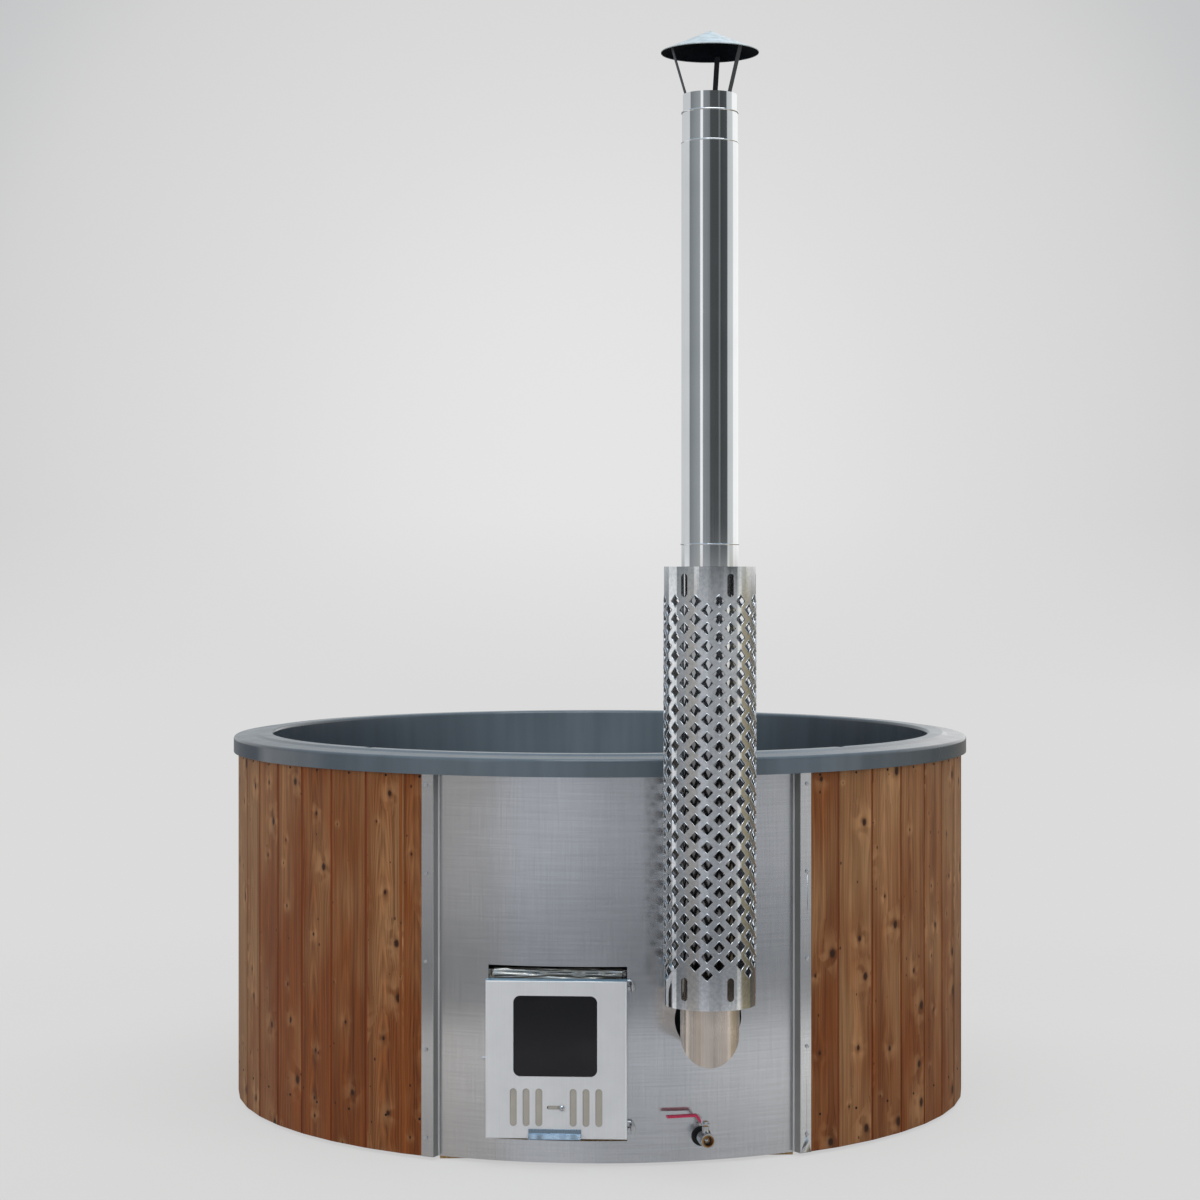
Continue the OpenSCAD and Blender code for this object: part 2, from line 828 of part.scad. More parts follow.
// Foil-faced insulation round the neck, with a roll on top that shows above the door
module neck_wrap() {
    color("#A9ABAE") in_stove() {
        difference() {
            uwz_box([door_u - neck_w / 2 - wrap_t, door_u + neck_w / 2 + wrap_t], [stove_front, wrap_front],
                [neck_z0 - wrap_t, neck_z1 + wrap_t]);
            uwz_box([door_u - neck_w / 2, door_u + neck_w / 2], [stove_front - over, wrap_front + over],
                [neck_z0, neck_z1]);
        }
        translate([door_u - neck_w / 2, -roll_w, neck_z1 + roll_r]) rotate([0, 90, 0])
            cylinder(r = roll_r, h = neck_w, $fn = 48);
    }
}

// Heat-proof rope round the neck's front edge
module door_rope() {
    half_u = (neck_w - firebox_t) / 2;
    z0 = neck_z0 + firebox_t / 2;
    z1 = neck_z1 - firebox_t / 2;
    corner = rope_corner;
    color("#D8D5CC") in_stove() translate([door_u, -neck_front - rope_r, 0]) {
        for (z = [z0, z1])
            translate([corner - half_u, 0, z]) rotate([0, 90, 0])
                cylinder(r = rope_r, h = 2 * (half_u - corner), $fn = 32);
        for (u = [-half_u, half_u])
            translate([u, 0, z0 + corner]) cylinder(r = rope_r, h = z1 - z0 - 2 * corner, $fn = 32);
        for (k = [0 : 3])
            translate([(k == 0 || k == 3 ? 1 : -1) * (half_u - corner), 0, k < 2 ? z1 - corner : z0 + corner])
                rotate([90, 0, 0]) rotate([0, 0, 90 * k]) rotate_extrude(angle = 90, $fn = 48)
                    translate([corner, 0]) circle(r = rope_r, $fn = 32);
    }
}

// Two eyes on straps from the neck, in which the door's pintles turn
module hinge_eyes() {
    color(bright) in_stove()
        for (top = eye_top_z)
            difference() {
                union() {
                    uwz_box([neck_right, hinge_u + strap_half], [strap_w0, strap_w0 + strap_t],
                        [top - eye_h, top - eye_h + strap_h]);
                    uwz_box([hinge_u - strap_half, hinge_u + strap_half], [strap_w0, hinge_w],
                        [top - eye_h, top - eye_h + strap_h]);
                    translate([hinge_u, -hinge_w, top - eye_h]) cylinder(r = eye_r, h = eye_h, $fn = 48);
                }
                translate([hinge_u, -hinge_w, top - eye_h - over])
                    cylinder(r = eye_bore_r, h = eye_h + 2 * over, $fn = 48);
            }
}

// Spring clip on the neck that grips the door's stud from above and below
module catch_clip() {
    gap = stud_r + clip_gap;
    foot_w = stud_w_at - prong_l;
    color(bright) in_stove() {
        uwz_box([neck_left - prong_t, neck_left], [foot_w - foot_l, foot_w + prong_t],
            [stud_z - foot_half, stud_z + foot_half]);
        uwz_box([neck_left - prong_w, neck_left], [foot_w, foot_w + prong_t],
            [stud_z - gap - prong_t, stud_z + gap + prong_t]);
        for (z = [stud_z - gap - prong_t, stud_z + gap])
            uwz_box([neck_left - prong_w, neck_left], [foot_w, stud_w_at + prong_past], [z, z + prong_t]);
    }
}

// Pipe that carries water between the jacket and the foot well
module water_pipe(z) {
    color(steel) in_stove() difference() {
        out_rod(0, z, [well_r - 8, stove_back], water_pipe_r);
        out_rod(0, z, [well_r - 8 - over, stove_back + over], water_pipe_r - water_pipe_t);
    }
}

module water_pipe_lower() { water_pipe(water_pipe_low); }
module water_pipe_upper() { water_pipe(water_pipe_top); }

// Flange rings on the pipes, seated on the foot well's wall
module pipe_flanges() {
    color(bright) in_stove()
        for (z = [water_pipe_low, water_pipe_top])
            difference() {
                intersection() {
                    out_rod(0, z, [well_r - flange_t - 2, well_r + over], water_pipe_r + flange_w);
                    cylinder(r = well_r, h = tub_h, $fn = 180);
                }
                out_rod(0, z, [well_r - flange_t - over, well_r + 2 * over], water_pipe_r);
            }
}

// A mitred bend of one radius: from the stove outwards, then up
module bend_solid(r, inward, upward) {
    big = 3 * (inward + upward);
    intersection() {
        translate([0, 0, -2 * r]) cylinder(r = r, h = upward + 2 * r);
        rotate([45, 0, 0]) translate([-big, -big, 0]) cube(2 * big);
    }
    intersection() {
        rotate([-90, 0, 0]) translate([0, 0, -2 * r]) cylinder(r = r, h = inward + 2 * r);
        rotate([45, 0, 0]) translate([-big, -big, -2 * big]) cube(2 * big);
    }
}

// Elbow from the firebox through the panel to the upright flue
module flue_elbow() {
    color("#A79F95") in_stove() translate([flue_u, -flue_w, flue_z]) difference() {
        bend_solid(elbow_r, flue_w - stove_front, elbow_top - flue_z);
        bend_solid(elbow_r - flue_t, flue_w - stove_front + over, elbow_top - flue_z + over);
    }
}

module upright_pipe(r, t, z0, z1) {
    in_stove() translate([flue_u, -flue_w, z0]) difference() {
        cylinder(r = r, h = z1 - z0);
        translate([0, 0, -over]) cylinder(r = r - t, h = z1 - z0 + 2 * over);
    }
}

// A raised bead round a pipe
module bead(r, z) {
    in_stove() translate([flue_u, -flue_w, z]) difference() {
        cylinder(r = r + bead_r, h = 2 * bead_r);
        translate([0, 0, -over]) cylinder(r = r, h = 2 * over + 2 * bead_r);
    }
}

// Lower flue pipe, set into the elbow's socket
module flue_lower() {
    color(bright) {
        upright_pipe(flue_r, flue_t, elbow_top - flue_overlap, flue_joint_z);
        in_stove() translate([flue_u, -flue_w, elbow_top]) difference() {
            cylinder(r = elbow_r, h = 3);
            translate([0, 0, -over]) cylinder(r = flue_r, h = 3 + 2 * over);
        }
    }
}

// Upper flue pipe, with the bead of its joint
module flue_upper() {
    color(bright) union() {
        upright_pipe(flue_r, flue_t, flue_joint_z, flue_top_z);
        bead(flue_r - eps, flue_joint_z);
    }
}

// Top collar that carries the rain hat, with two beads
module flue_collar() {
    color(bright) union() {
        upright_pipe(collar_r_low, flue_t, flue_top_z, flue_top_z + collar_mid);
        upright_pipe(collar_r_top, flue_t, flue_top_z + collar_mid - 1, flue_top_z + collar_h);
        bead(collar_r_low - 3, flue_top_z + collar_mid - 2 * bead_r);
        bead(collar_r_low - eps, flue_top_z);
    }
}

// Three flat legs from inside the collar to the rain hat
module hat_legs() {
    collar_top = flue_top_z + collar_h;
    hat_slope = hat_h / (hat_r - hat_t);
    top_z = hat_z - hat_t + (hat_r - hat_t - leg_r - leg_lean) * hat_slope - leg_gap;
    color(black) in_stove() translate([flue_u, -flue_w, 0])
        for (k = [0 : leg_count - 1])
            rotate([0, 0, leg_turn + k * 360 / leg_count]) translate([0, -leg_r, 0])
                rotate([0, -90, 0]) linear_extrude(height = leg_w, center = true)
                    polygon([[collar_top - leg_foot, leg_t], [collar_top - leg_foot, 0], [collar_top, 0],
                        [top_z, -leg_lean], [top_z + leg_t * hat_slope, leg_t - leg_lean],
                        [collar_top, leg_t]]);
}

// Shallow cone with a small turned-down edge
module rain_hat() {
    color("#2E3438") in_stove() translate([flue_u, -flue_w, 0]) rotate_extrude()
        polygon([[0, hat_z + hat_h], [hat_r, hat_z], [hat_r, hat_z - 2 * hat_t],
            [hat_r - hat_t, hat_z - 2 * hat_t], [hat_r - hat_t, hat_z - hat_t], [0, hat_z + hat_h - hat_t]]);
}

// Height of a row of diamonds, and whether a diamond stands at a column of that row
function row_z(row) = row_first - row * diamond_pitch;
slot_low_top = guard_z + guard_slot_end + guard_slot_h;
function in_slot_column(row, k) = row % 2 == 1 && k % 2 == 1;
function row_fits(row, k) =
    row_z(row) - diamond_w / 2 > (in_slot_column(row, k) ? slot_low_top : guard_z + guard_slot_end);

// Perforated guard round the flue, held off it by tabs bent in from its end slots
module heat_guard() {
    tab_reach = [guard_r - elbow_r - tab_gap, guard_r - flue_r - tab_gap];
    slot_z0 = [guard_z + guard_slot_end, guard_z + guard_h - guard_slot_top - guard_slot_h];
    tab_z = [slot_z0[0] - guard_t / 2, slot_z0[1] + guard_slot_h - guard_t / 2];
    color("#C9CDD2") in_stove() translate([flue_u, -flue_w, 0]) union() {
        difference() {
            translate([0, 0, guard_z]) cylinder(r = guard_r, h = guard_h);
            translate([0, 0, guard_z - over]) cylinder(r = guard_r - guard_t, h = guard_h + 2 * over);
            for (row = [0 : diamond_rows - 1])
                for (k = [0 : guard_columns / 2 - 1])
                    if (row_fits(row, k))
                        translate([0, 0, row_z(row)])
                            rotate([0, 0, guard_turn + column_angle * (k + (row % 2 == 0 ? 0.5 : 0))])
                                rotate([90, 0, 0]) linear_extrude(height = 2 * guard_r + over, center = true)
                                    circle(d = diamond_w, $fn = 4);
            for (k = [1 : 2 : guard_columns / 2 - 1])
                rotate([0, 0, guard_turn + k * column_angle])
                    for (end = [0, 1])
                        translate([0, 0, slot_z0[end] + guard_slot_h / 2]) rotate([90, 0, 0])
                            linear_extrude(height = 2 * guard_r + over, center = true)
                                soft_rect(guard_slot_w, guard_slot_h, guard_slot_w / 2 - round_off);
        }
        for (k = [1 : 2 : guard_columns - 1])
            rotate([0, 0, guard_turn + k * column_angle])
                for (end = [0, 1])
                    translate([-tab_w / 2, -guard_r + guard_t / 2, tab_z[end]])
                        cube([tab_w, tab_reach[end] - guard_t / 2, guard_t]);
    }
}

// Pipe from the foot well to the valve
module drain_pipe() {
    color(steel) rotate([0, 0, valve_turn]) difference() {
        out_rod(0, drain_z, [well_r - drain_lip, valve_back + socket_l], drain_r);
        out_rod(0, drain_z, [well_r - drain_lip - over, valve_back + socket_l + over], drain_r - drain_t);
    }
}

// Locknut on the dry side of the foot well
module drain_locknut() {
    color(brass) rotate([0, 0, valve_turn]) difference() {
        out_rod(0, drain_z, [well_r + over, well_r + shell_t + locknut_t], locknut_r, 6);
        cylinder(r = well_r + shell_t, h = bench_h, $fn = 180);
        out_rod(0, drain_z, [well_r, well_r + shell_t + locknut_t + over], drain_r);
    }
}

// Rubber grommet where the pipe leaves the panel
module drain_grommet() {
    color(black) rotate([0, 0, valve_turn]) difference() {
        union() {
            out_rod(0, drain_z, [frame_r - 4, frame_r + panel_t + eps], valve_end_r - 0.2);
            out_rod(0, drain_z, [frame_r + panel_t, frame_r + panel_t + grommet_t], grommet_r);
        }
        out_rod(0, drain_z, [frame_r - 4 - over, frame_r + grommet_t + 2 * over], drain_r);
    }
}

// Valve body: hexagon at the back, round housing, boss for the stem
module valve_body() {
    color(bright) rotate([0, 0, valve_turn]) difference() {
        union() {
            out_rod(0, drain_z, [valve_back, valve_back + hex_l], valve_r, 6);
            out_rod(0, drain_z, [valve_back + hex_l - eps, valve_front - valve_end_l], valve_r);
            translate([0, -valve_mid, drain_z]) cylinder(r = boss_r, h = boss_top - drain_z, $fn = 48);
        }
        out_rod(0, drain_z, [valve_back - over, valve_back + socket_l], drain_r);
        out_rod(0, drain_z, [valve_back, valve_front], drain_r - drain_t);
        out_rod(0, drain_z, [cavity_w0, valve_front], cavity_r);
        translate([0, -valve_mid, drain_z]) cylinder(r = stem_r + stem_fit, h = boss_top, $fn = 48);
    }
}

// Screwed end ring of the valve: the mouth that a hose tail screws into
module valve_end() {
    color(brass) rotate([0, 0, valve_turn]) difference() {
        union() {
            out_rod(0, drain_z, [valve_front - valve_end_l, valve_front], valve_end_r, 8);
            out_rod(0, drain_z, [valve_front - valve_end_l - spigot_l, valve_front - valve_end_l + eps],
                cavity_r - stem_fit);
        }
        out_rod(0, drain_z, [valve_mid, valve_front], drain_r - drain_t);
        out_rod(0, drain_z, [valve_front - valve_end_l, valve_front + over], mouth_r);
        translate([0, -valve_mid, drain_z]) sphere(r = ball_r + ball_gap);
    }
}

// Seal ring behind the ball
module valve_seats() {
    color("#F2F2EE") rotate([0, 0, valve_turn]) difference() {
        out_rod(0, drain_z, [cavity_w0, valve_mid - ball_bore], cavity_r);
        out_rod(0, drain_z, [valve_mid - ball_r - over, valve_mid], ball_bore);
        translate([0, -valve_mid, drain_z]) sphere(r = ball_r + ball_gap);
    }
}

// Packing nut on the boss
module gland_nut() {
    color(bright) rotate([0, 0, valve_turn]) translate([0, -valve_mid, boss_top]) difference() {
        cylinder(r = gland_r, h = gland_h, $fn = 6);
        translate([0, 0, -over]) cylinder(r = stem_r + stem_fit, h = gland_h + 2 * over, $fn = 48);
    }
}

// Bored ball, shown closed; its bore lies across the flow
module valve_ball() {
    color("#DADCDF") rotate([0, 0, valve_turn]) translate([0, -valve_mid, drain_z]) difference() {
        sphere(r = ball_r);
        rotate([0, 90, 0]) translate([0, 0, -2 * ball_r]) cylinder(r = ball_bore, h = 4 * ball_r, $fn = 64);
        translate([0, 0, stem_foot - drain_z]) cylinder(r = stem_r, h = ball_r, $fn = 48);
    }
}

// Stem from the ball up to the lever
module valve_stem() {
    color(steel) rotate([0, 0, valve_turn]) translate([0, -valve_mid, stem_foot])
        cylinder(r = stem_r, h = lever_z + lever_t + nut_h + 1 - stem_foot, $fn = 48);
}

// Side view of the lever: x is the distance from the stem, y the height
function lever_line(t) =
    [[-lever_foot, 0], [lever_foot, 0], [lever_foot + lever_run, lever_rise], [lever_l, lever_rise],
     [lever_l, lever_rise + t], [lever_foot + lever_run - t * 0.6, lever_rise + t], [lever_foot - t * 0.6, t],
     [-lever_foot, t]];

// Bent strip lever, pointing along the panel when the valve is shut
module valve_lever() {
    color(bright) rotate([0, 0, valve_turn]) translate([0, -valve_mid, lever_z]) difference() {
        rotate([90, 0, 0]) mirror([1, 0]) linear_extrude(height = lever_w, center = true)
            polygon(lever_line(lever_t));
        translate([0, 0, -over]) cylinder(r = stem_r, h = 2 * over + lever_t, $fn = 48);
    }
}

// Dipped grip on the lever
module lever_sleeve() {
    grip_start = lever_foot + 4;
    color(red) rotate([0, 0, valve_turn]) translate([0, -valve_mid, lever_z]) difference() {
        rotate([90, 0, 0]) mirror([1, 0]) linear_extrude(height = lever_w + 2 * sleeve_t, center = true)
            intersection() {
                polygon([[lever_foot, -sleeve_t * 1.2], [lever_foot + lever_run + 1, lever_rise - sleeve_t],
                    [lever_l + sleeve_t, lever_rise - sleeve_t],
                    [lever_l + sleeve_t, lever_rise + lever_t + sleeve_t],
                    [lever_foot + lever_run - lever_t * 0.6 - 1, lever_rise + lever_t + sleeve_t],
                    [lever_foot - lever_t * 0.6 - 2, lever_t]]);
                translate([grip_start, -over]) square([lever_l, 2 * lever_rise]);
            }
        rotate([90, 0, 0]) mirror([1, 0]) linear_extrude(height = lever_w, center = true)
            polygon(lever_line(lever_t));
    }
}

// Nut that holds the lever on the stem
module lever_nut() {
    color(steel) rotate([0, 0, valve_turn]) translate([0, -valve_mid, lever_z + lever_t]) difference() {
        cylinder(r = nut_r, h = nut_h, $fn = 6);
        translate([0, 0, -over]) cylinder(r = stem_r, h = nut_h + 2 * over, $fn = 48);
    }
}

slot_offsets = [for (side = [-1, 1]) for (k = [0 : 2]) side * (slot_gap / 2 + k * slot_pitch)];

// Folded door with the window, six air slots and the slot of the air slide's knob
module door_panel() {
    door_back = door_front - door_d;
    color(bright) in_stove() difference() {
        uwz_box([door_left, door_right], [door_back, door_front], [door_z, door_z + door_h]);
        uwz_box([door_left + door_t, door_right - door_t], [door_back - over, sheet_back],
            [door_z + door_t, door_z + door_h - door_t]);
        translate([door_left - over, -stud_w_at, stud_z]) rotate([0, 90, 0])
            cylinder(r = stud_r, h = 2 * over, $fn = 32);
        soft_plate(window_u, window_z, [window_w, window_h], window_r,
            [sheet_back - over, door_front + over]);
        for (u = slot_offsets)
            soft_plate(door_u + u, slot_z, [slot_w, slot_h], slot_w / 2 - round_off,
                [sheet_back - over, door_front + over]);
        soft_plate(door_u + knob_u - slide_travel / 2, slot_z, [slide_travel + 2 * adjust_end, adjust_h],
            adjust_h / 2 - round_off, [sheet_back - over, door_front + over]);
    }
}

// Pane of ceramic glass
module door_glass() {
    color(black) in_stove()
        soft_plate(window_u, window_z, [pane_w, pane_h], 4, [pane_front - glass_t, pane_front]);
}

// Flat tape between the pane and the door's sheet
module glass_gasket() {
    color("#C9C6BD") in_stove() difference() {
        soft_plate(window_u, window_z, [pane_w, pane_h], 4, [pane_front, sheet_back]);
        soft_plate(window_u, window_z, [window_w + 2, window_h + 2], window_r,
            [pane_front - over, sheet_back + over]);
    }
}

// Four clips that hold the pane
module glass_clips() {
    pane_back = pane_front - glass_t;
    color(steel) in_stove()
        for (side = [-1, 1])
            for (z = [window_z - window_h / 4, window_z + window_h / 4])
                translate([window_u, 0, 0]) mirror([side > 0 ? 0 : 1, 0]) {
                    uwz_box([pane_w / 2, pane_w / 2 + clip_foot], [sheet_back - clip_t, sheet_back],
                        [z - clip_l / 2, z + clip_l / 2]);
                    uwz_box([pane_w / 2, pane_w / 2 + clip_t], [pane_back - clip_t, sheet_back],
                        [z - clip_l / 2, z + clip_l / 2]);
                    uwz_box([pane_w / 2 - clip_lip, pane_w / 2 + clip_t], [pane_back - clip_t, pane_back],
                        [z - clip_l / 2, z + clip_l / 2]);
                }
}

// Bent lip at the foot of the door
module door_handle() {
    color("#9FB2C4") in_stove() translate([handle_u, -door_front, 0]) rotate([90, 0, 90])
        linear_extrude(height = handle_l, center = true)
            polygon([[0, handle_top], [-handle_t, handle_top],
                [-handle_t, handle_top - handle_flat + handle_t / 2],
                [-handle_out, handle_end + handle_t], [-handle_out + handle_t / 2, handle_end],
                [0, handle_top - handle_flat]]);
}

// Bent rods on the door that drop into the hinge eyes
module hinge_pintles() {
    color(bright) in_stove()
        for (top = eye_top_z)
            translate([hinge_u, -hinge_w, top]) {
                arm_z = seat_gap + collar_t + bend_r;
                translate([0, 0, -eye_h - pintle_below])
                    cylinder(r = pintle_r, h = eye_h + pintle_below + seat_gap + collar_t, $fn = 48);
                translate([0, 0, seat_gap]) cylinder(r = collar_r, h = collar_t, $fn = 48);
                translate([-bend_r, 0, arm_z - bend_r]) rotate([90, 0, 0])
                    rotate_extrude(angle = 90, $fn = 48)
                        translate([bend_r, 0]) circle(r = pintle_r, $fn = 48);
                translate([door_right - hinge_u, 0, arm_z]) rotate([0, 90, 0])
                    cylinder(r = pintle_r, h = hinge_u - door_right - bend_r, $fn = 48);
            }
}

// Stud through the door's left edge, held by the catch clip
module catch_stud() {
    color(bright) in_stove() translate([door_left - stud_out, -stud_w_at, stud_z]) rotate([0, 90, 0])
        cylinder(r = stud_r, h = stud_out + door_t + stud_in, $fn = 32);
}

// Two guides that hold the air slide against the door's sheet
module slide_guides() {
    lip_back = slide_front - slide_t - guide_gap - guide_t;
    color(steel) in_stove() {
        uwz_box([door_u - guide_half, door_u + guide_half], [lip_back, sheet_back],
            [slide_z1 + guide_gap, slide_z1 + guide_gap + guide_h]);
        uwz_box([door_u - guide_half, door_u + guide_half], [lip_back, lip_back + guide_t],
            [slide_z1 - guide_lip, slide_z1 + guide_gap + guide_h]);
        uwz_box([door_u - guide_half, door_u + guide_half], [lip_back, sheet_back],
            [slide_z0 - guide_gap - guide_h, slide_z0 - guide_gap]);
        uwz_box([door_u - guide_half, door_u + guide_half], [lip_back, lip_back + guide_t],
            [slide_z0 - guide_gap - guide_h, slide_z0 + guide_lip]);
    }
}

// Air slide: its slots lie between the door's slots when it is shut
module slide_plate() {
    color("#8E8C87") in_stove() difference() {
        uwz_box([door_u - slide_left, door_u + slide_right], [slide_front - slide_t, slide_front],
            [slide_z0, slide_z1]);
        for (u = slot_offsets)
            soft_plate(door_u + u + slot_pitch / 2, slot_z, [slide_slot_w, slide_slot_h],
                slide_slot_w / 2 - round_off, [slide_front - slide_t - over, slide_front + over]);
    }
}

// Knob of the air slide
module slide_knob() {
    color(bright) in_stove() translate([door_u + knob_u, -slide_front, knob_z]) rotate([90, 0, 0]) {
        cylinder(r = knob_shank_r, h = door_front - slide_front + 2 * seat_gap, $fn = 32);
        translate([0, 0, door_front - slide_front + seat_gap]) cylinder(r = knob_r, h = knob_t, $fn = 48);
        translate([0, 0, door_front - slide_front + seat_gap + knob_t]) intersection() {
            translate([0, 0, -4]) sphere(r = 7.6, $fn = 48);
            cylinder(r = knob_r, h = 6, $fn = 48);
        }
    }
}

liner();
front_panel();
trim_left();
trim_right();
trim_screws();
cladding_1();
cladding_2();
cladding_3();
cladding_4();
cladding_5();
cladding_nails();
base_beams();
lower_hoop();
upper_hoop();
wall_studs();
heat_board();
stove_jacket();
firebox();
fire_grate();
smoke_baffle();
door_neck();
neck_wrap();
door_rope();
hinge_eyes();
catch_clip();
water_pipe_lower();
water_pipe_upper();
pipe_flanges();
flue_elbow();
flue_lower();
flue_upper();
flue_collar();
hat_legs();
rain_hat();
heat_guard();
drain_pipe();
drain_locknut();
drain_grommet();
valve_body();
valve_end();
valve_seats();
gland_nut();
valve_ball();
valve_stem();
valve_lever();
lever_sleeve();
lever_nut();
door_panel();
door_glass();
glass_gasket();
glass_clips();
door_handle();
hinge_pintles();
catch_stud();
slide_guides();
slide_plate();
slide_knob();
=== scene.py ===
"""Looks of a wooden hot tub with a built-in wood stove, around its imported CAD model."""

import math
import random
from functools import partial

import bmesh
import bpy
from mathutils import Matrix, Vector, noise


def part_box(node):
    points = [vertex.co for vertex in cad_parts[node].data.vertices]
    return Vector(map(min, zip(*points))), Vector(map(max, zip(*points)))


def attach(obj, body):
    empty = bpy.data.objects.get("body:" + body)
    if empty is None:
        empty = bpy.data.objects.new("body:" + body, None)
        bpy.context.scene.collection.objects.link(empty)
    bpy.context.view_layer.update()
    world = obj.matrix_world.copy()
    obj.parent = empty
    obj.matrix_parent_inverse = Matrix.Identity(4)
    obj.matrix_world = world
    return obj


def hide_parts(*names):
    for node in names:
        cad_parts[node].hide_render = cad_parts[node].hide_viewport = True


bl_info = {
    "name": "Hot Tub Looks",
    "version": (1, 0, 0),
    "blender": (4, 5, 0),
    "location": "View3D > Sidebar > Hot Tub",
    "description": "Boards, steel sheets, flue, valve and studio for a wood-fired hot tub",
    "category": "Object",
}

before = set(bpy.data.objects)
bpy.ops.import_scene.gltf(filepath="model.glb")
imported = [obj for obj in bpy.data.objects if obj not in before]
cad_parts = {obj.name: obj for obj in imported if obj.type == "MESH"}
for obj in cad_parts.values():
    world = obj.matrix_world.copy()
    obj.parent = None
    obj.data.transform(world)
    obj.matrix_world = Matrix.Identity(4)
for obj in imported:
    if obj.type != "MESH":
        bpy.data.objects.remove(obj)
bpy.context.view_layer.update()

# Measures of the CAD model, in metres and degrees
STOVE_TURN = 6.0  # turn of the stove, its door and its flue to the left
WALL_BACK, WALL_FRONT = 0.948, 0.970  # radii of the boards' two faces
SIDE_GAP = 0.0016  # from each side of a board's back to the edge of the width that it covers
FIRST_EDGE, BOARD_TURN = 26.7, 6.867  # where the boards begin, and the turn of each
LAST_BOARD, LAST_TURN = 44, 331.07  # the ripped board's number and place
PANEL_FACE = 0.949  # radius of the front panel's face


def linear(colour):
    """An sRGB hex colour as the linear colour that nodes take; any other value as it is."""
    if not isinstance(colour, str):
        return colour
    parts = [int(colour[i : i + 2], 16) / 255 for i in (1, 3, 5)]
    return tuple(p / 12.92 if p <= 0.04045 else ((p + 0.055) / 1.055) ** 2.4 for p in parts) + (1.0,)


# Sizes and colours


def length(name, description, metres):
    """A length in a property group."""
    return bpy.props.FloatProperty(name=name, description=description, default=metres, unit="LENGTH")


def hue(name, description, colour):
    """A colour in a property group."""
    return bpy.props.FloatVectorProperty(
        name=name, description=description, size=4, subtype="COLOR", default=linear(colour)
    )


def strength(name, description, amount, unit="POWER"):
    """A lamp's power, or the strength of the light all round."""
    return bpy.props.FloatProperty(name=name, description=description, default=amount, min=0.0, unit=unit)


class HotTubWood(bpy.types.PropertyGroup):
    """The upright boards and their stain."""

    cover: length("Cover width", "Width that each board adds to the wall", 0.1164)
    seam: length("Seam", "Width of tongue that shows between two boards", 0.007)
    easing: length("Eased edge", "Rounding planed on the long front edges", 0.0018)
    ripped: length("Last board's cut edge", "How far from its middle the last board is ripped", 0.036894)
    fresh: hue("Stained wood", "Colour of a board that kept its stain", "#743F18")
    worn: hue("Bleached wood", "Colour of a board that the sun has greyed", "#8C6846")
    deep: hue("Seam wood", "Colour of the sheltered wood between boards", "#743A1C")
    knot: hue("Knot", "Colour of the knots", "#2C160B")


class HotTubSteel(bpy.types.PropertyGroup):
    """The steel sheets, the flue and the small metal parts."""

    panel: hue("Panel", "Colour of the rolled panel sheet", "#D3D5D8")
    door: hue("Door", "Colour of the door's pale sheet", "#DCDEE1")
    flue: hue("Flue", "Colour of the polished flue", "#F0F1F2")
    fold: length("Fold", "Outside radius of the folds in the door's sheet", 0.0028)
    bead: length("Bead", "Height of the rolled beads at the flue's joints", 0.0036)
    diamond: length("Diamond", "Corner-to-corner size of a diamond in the heat guard", 0.027)
    row_pitch: length("Row pitch", "Distance between rows of diamonds", 0.0205)
    foil_crease: length("Foil creases", "Depth of the creases in the foil-faced wool", 0.0034)


class HotTubLiner(bpy.types.PropertyGroup):
    """The glass-fibre liner and the red lever sleeve."""

    gelcoat: hue("Gelcoat", "Colour of the liner's gelcoat", "#56616A")
    sleeve: hue("Lever sleeve", "Colour of the dipped sleeve on the valve's lever", "#B5274F")


class HotTubStudio(bpy.types.PropertyGroup):
    """The studio that the tub is shown in."""

    floor: hue("Floor", "Colour of the studio floor", "#E3E3E3")
    ambient: strength("Ambient", "Strength of the light from all round", 0.62, "NONE")
    key: strength("Key", "Power of the tall soft box at the front left", 55.0)
    overhead: strength("Overhead", "Power of the soft box above the tub", 90.0)


# Small helpers


def plug(node, sockets):
    """Sets or links a node's sockets; a node given as a value stands for its first output in use."""
    for key, value in sockets.items():
        if isinstance(value, bpy.types.Node):
            value = next(output for output in value.outputs if output.enabled)
        if isinstance(value, bpy.types.NodeSocket):
            node.id_data.links.new(value, node.inputs[key])
        else:
            node.inputs[key].default_value = linear(value)


def add_node(tree, kind, *values, stops=(), **settings):
    """Adds a node such as "Math multiply" or "Mix rgba", with its colour stops and its settings.

    Values and links fill the sockets in use in their order, or by name from a dictionary.
    """
    kind, *mode = kind.split()
    node = tree.nodes.new("ShaderNode" + kind)
    if mode:
        setattr(node, "data_type" if kind == "Mix" else "operation", mode[0].upper())
    for key, value in settings.items():
        setattr(node, key, value)
    if stops:
        ramp = node.color_ramp
        while len(ramp.elements) < len(stops):
            ramp.elements.new(0.5)
        for element, (position, colour) in zip(ramp.elements, stops):
            element.position, element.color = position, linear(colour)
    if values and isinstance(values[0], dict):
        plug(node, values[0])
    else:
        in_use = [place for place, socket in enumerate(node.inputs) if socket.enabled]
        plug(node, dict(zip(in_use, values)))
    return node


def new_finish(name):
    """A new material: gives it, the function that adds its nodes, and its shader."""
    finish = bpy.data.materials.new(name)
    finish.use_nodes = True
    tree = finish.node_tree
    return finish, partial(add_node, tree), tree.nodes["Principled BSDF"]


def scaled(colour, factor):
    """A colour made lighter or darker."""
    return tuple(min(1.0, c * factor) for c in linear(colour)[:3]) + (1.0,)


def dress(finish, *nodes):
    """Gives CAD nodes a finish in their own material slots."""
    for name in nodes:
        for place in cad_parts[name].material_slots:
            place.material = finish


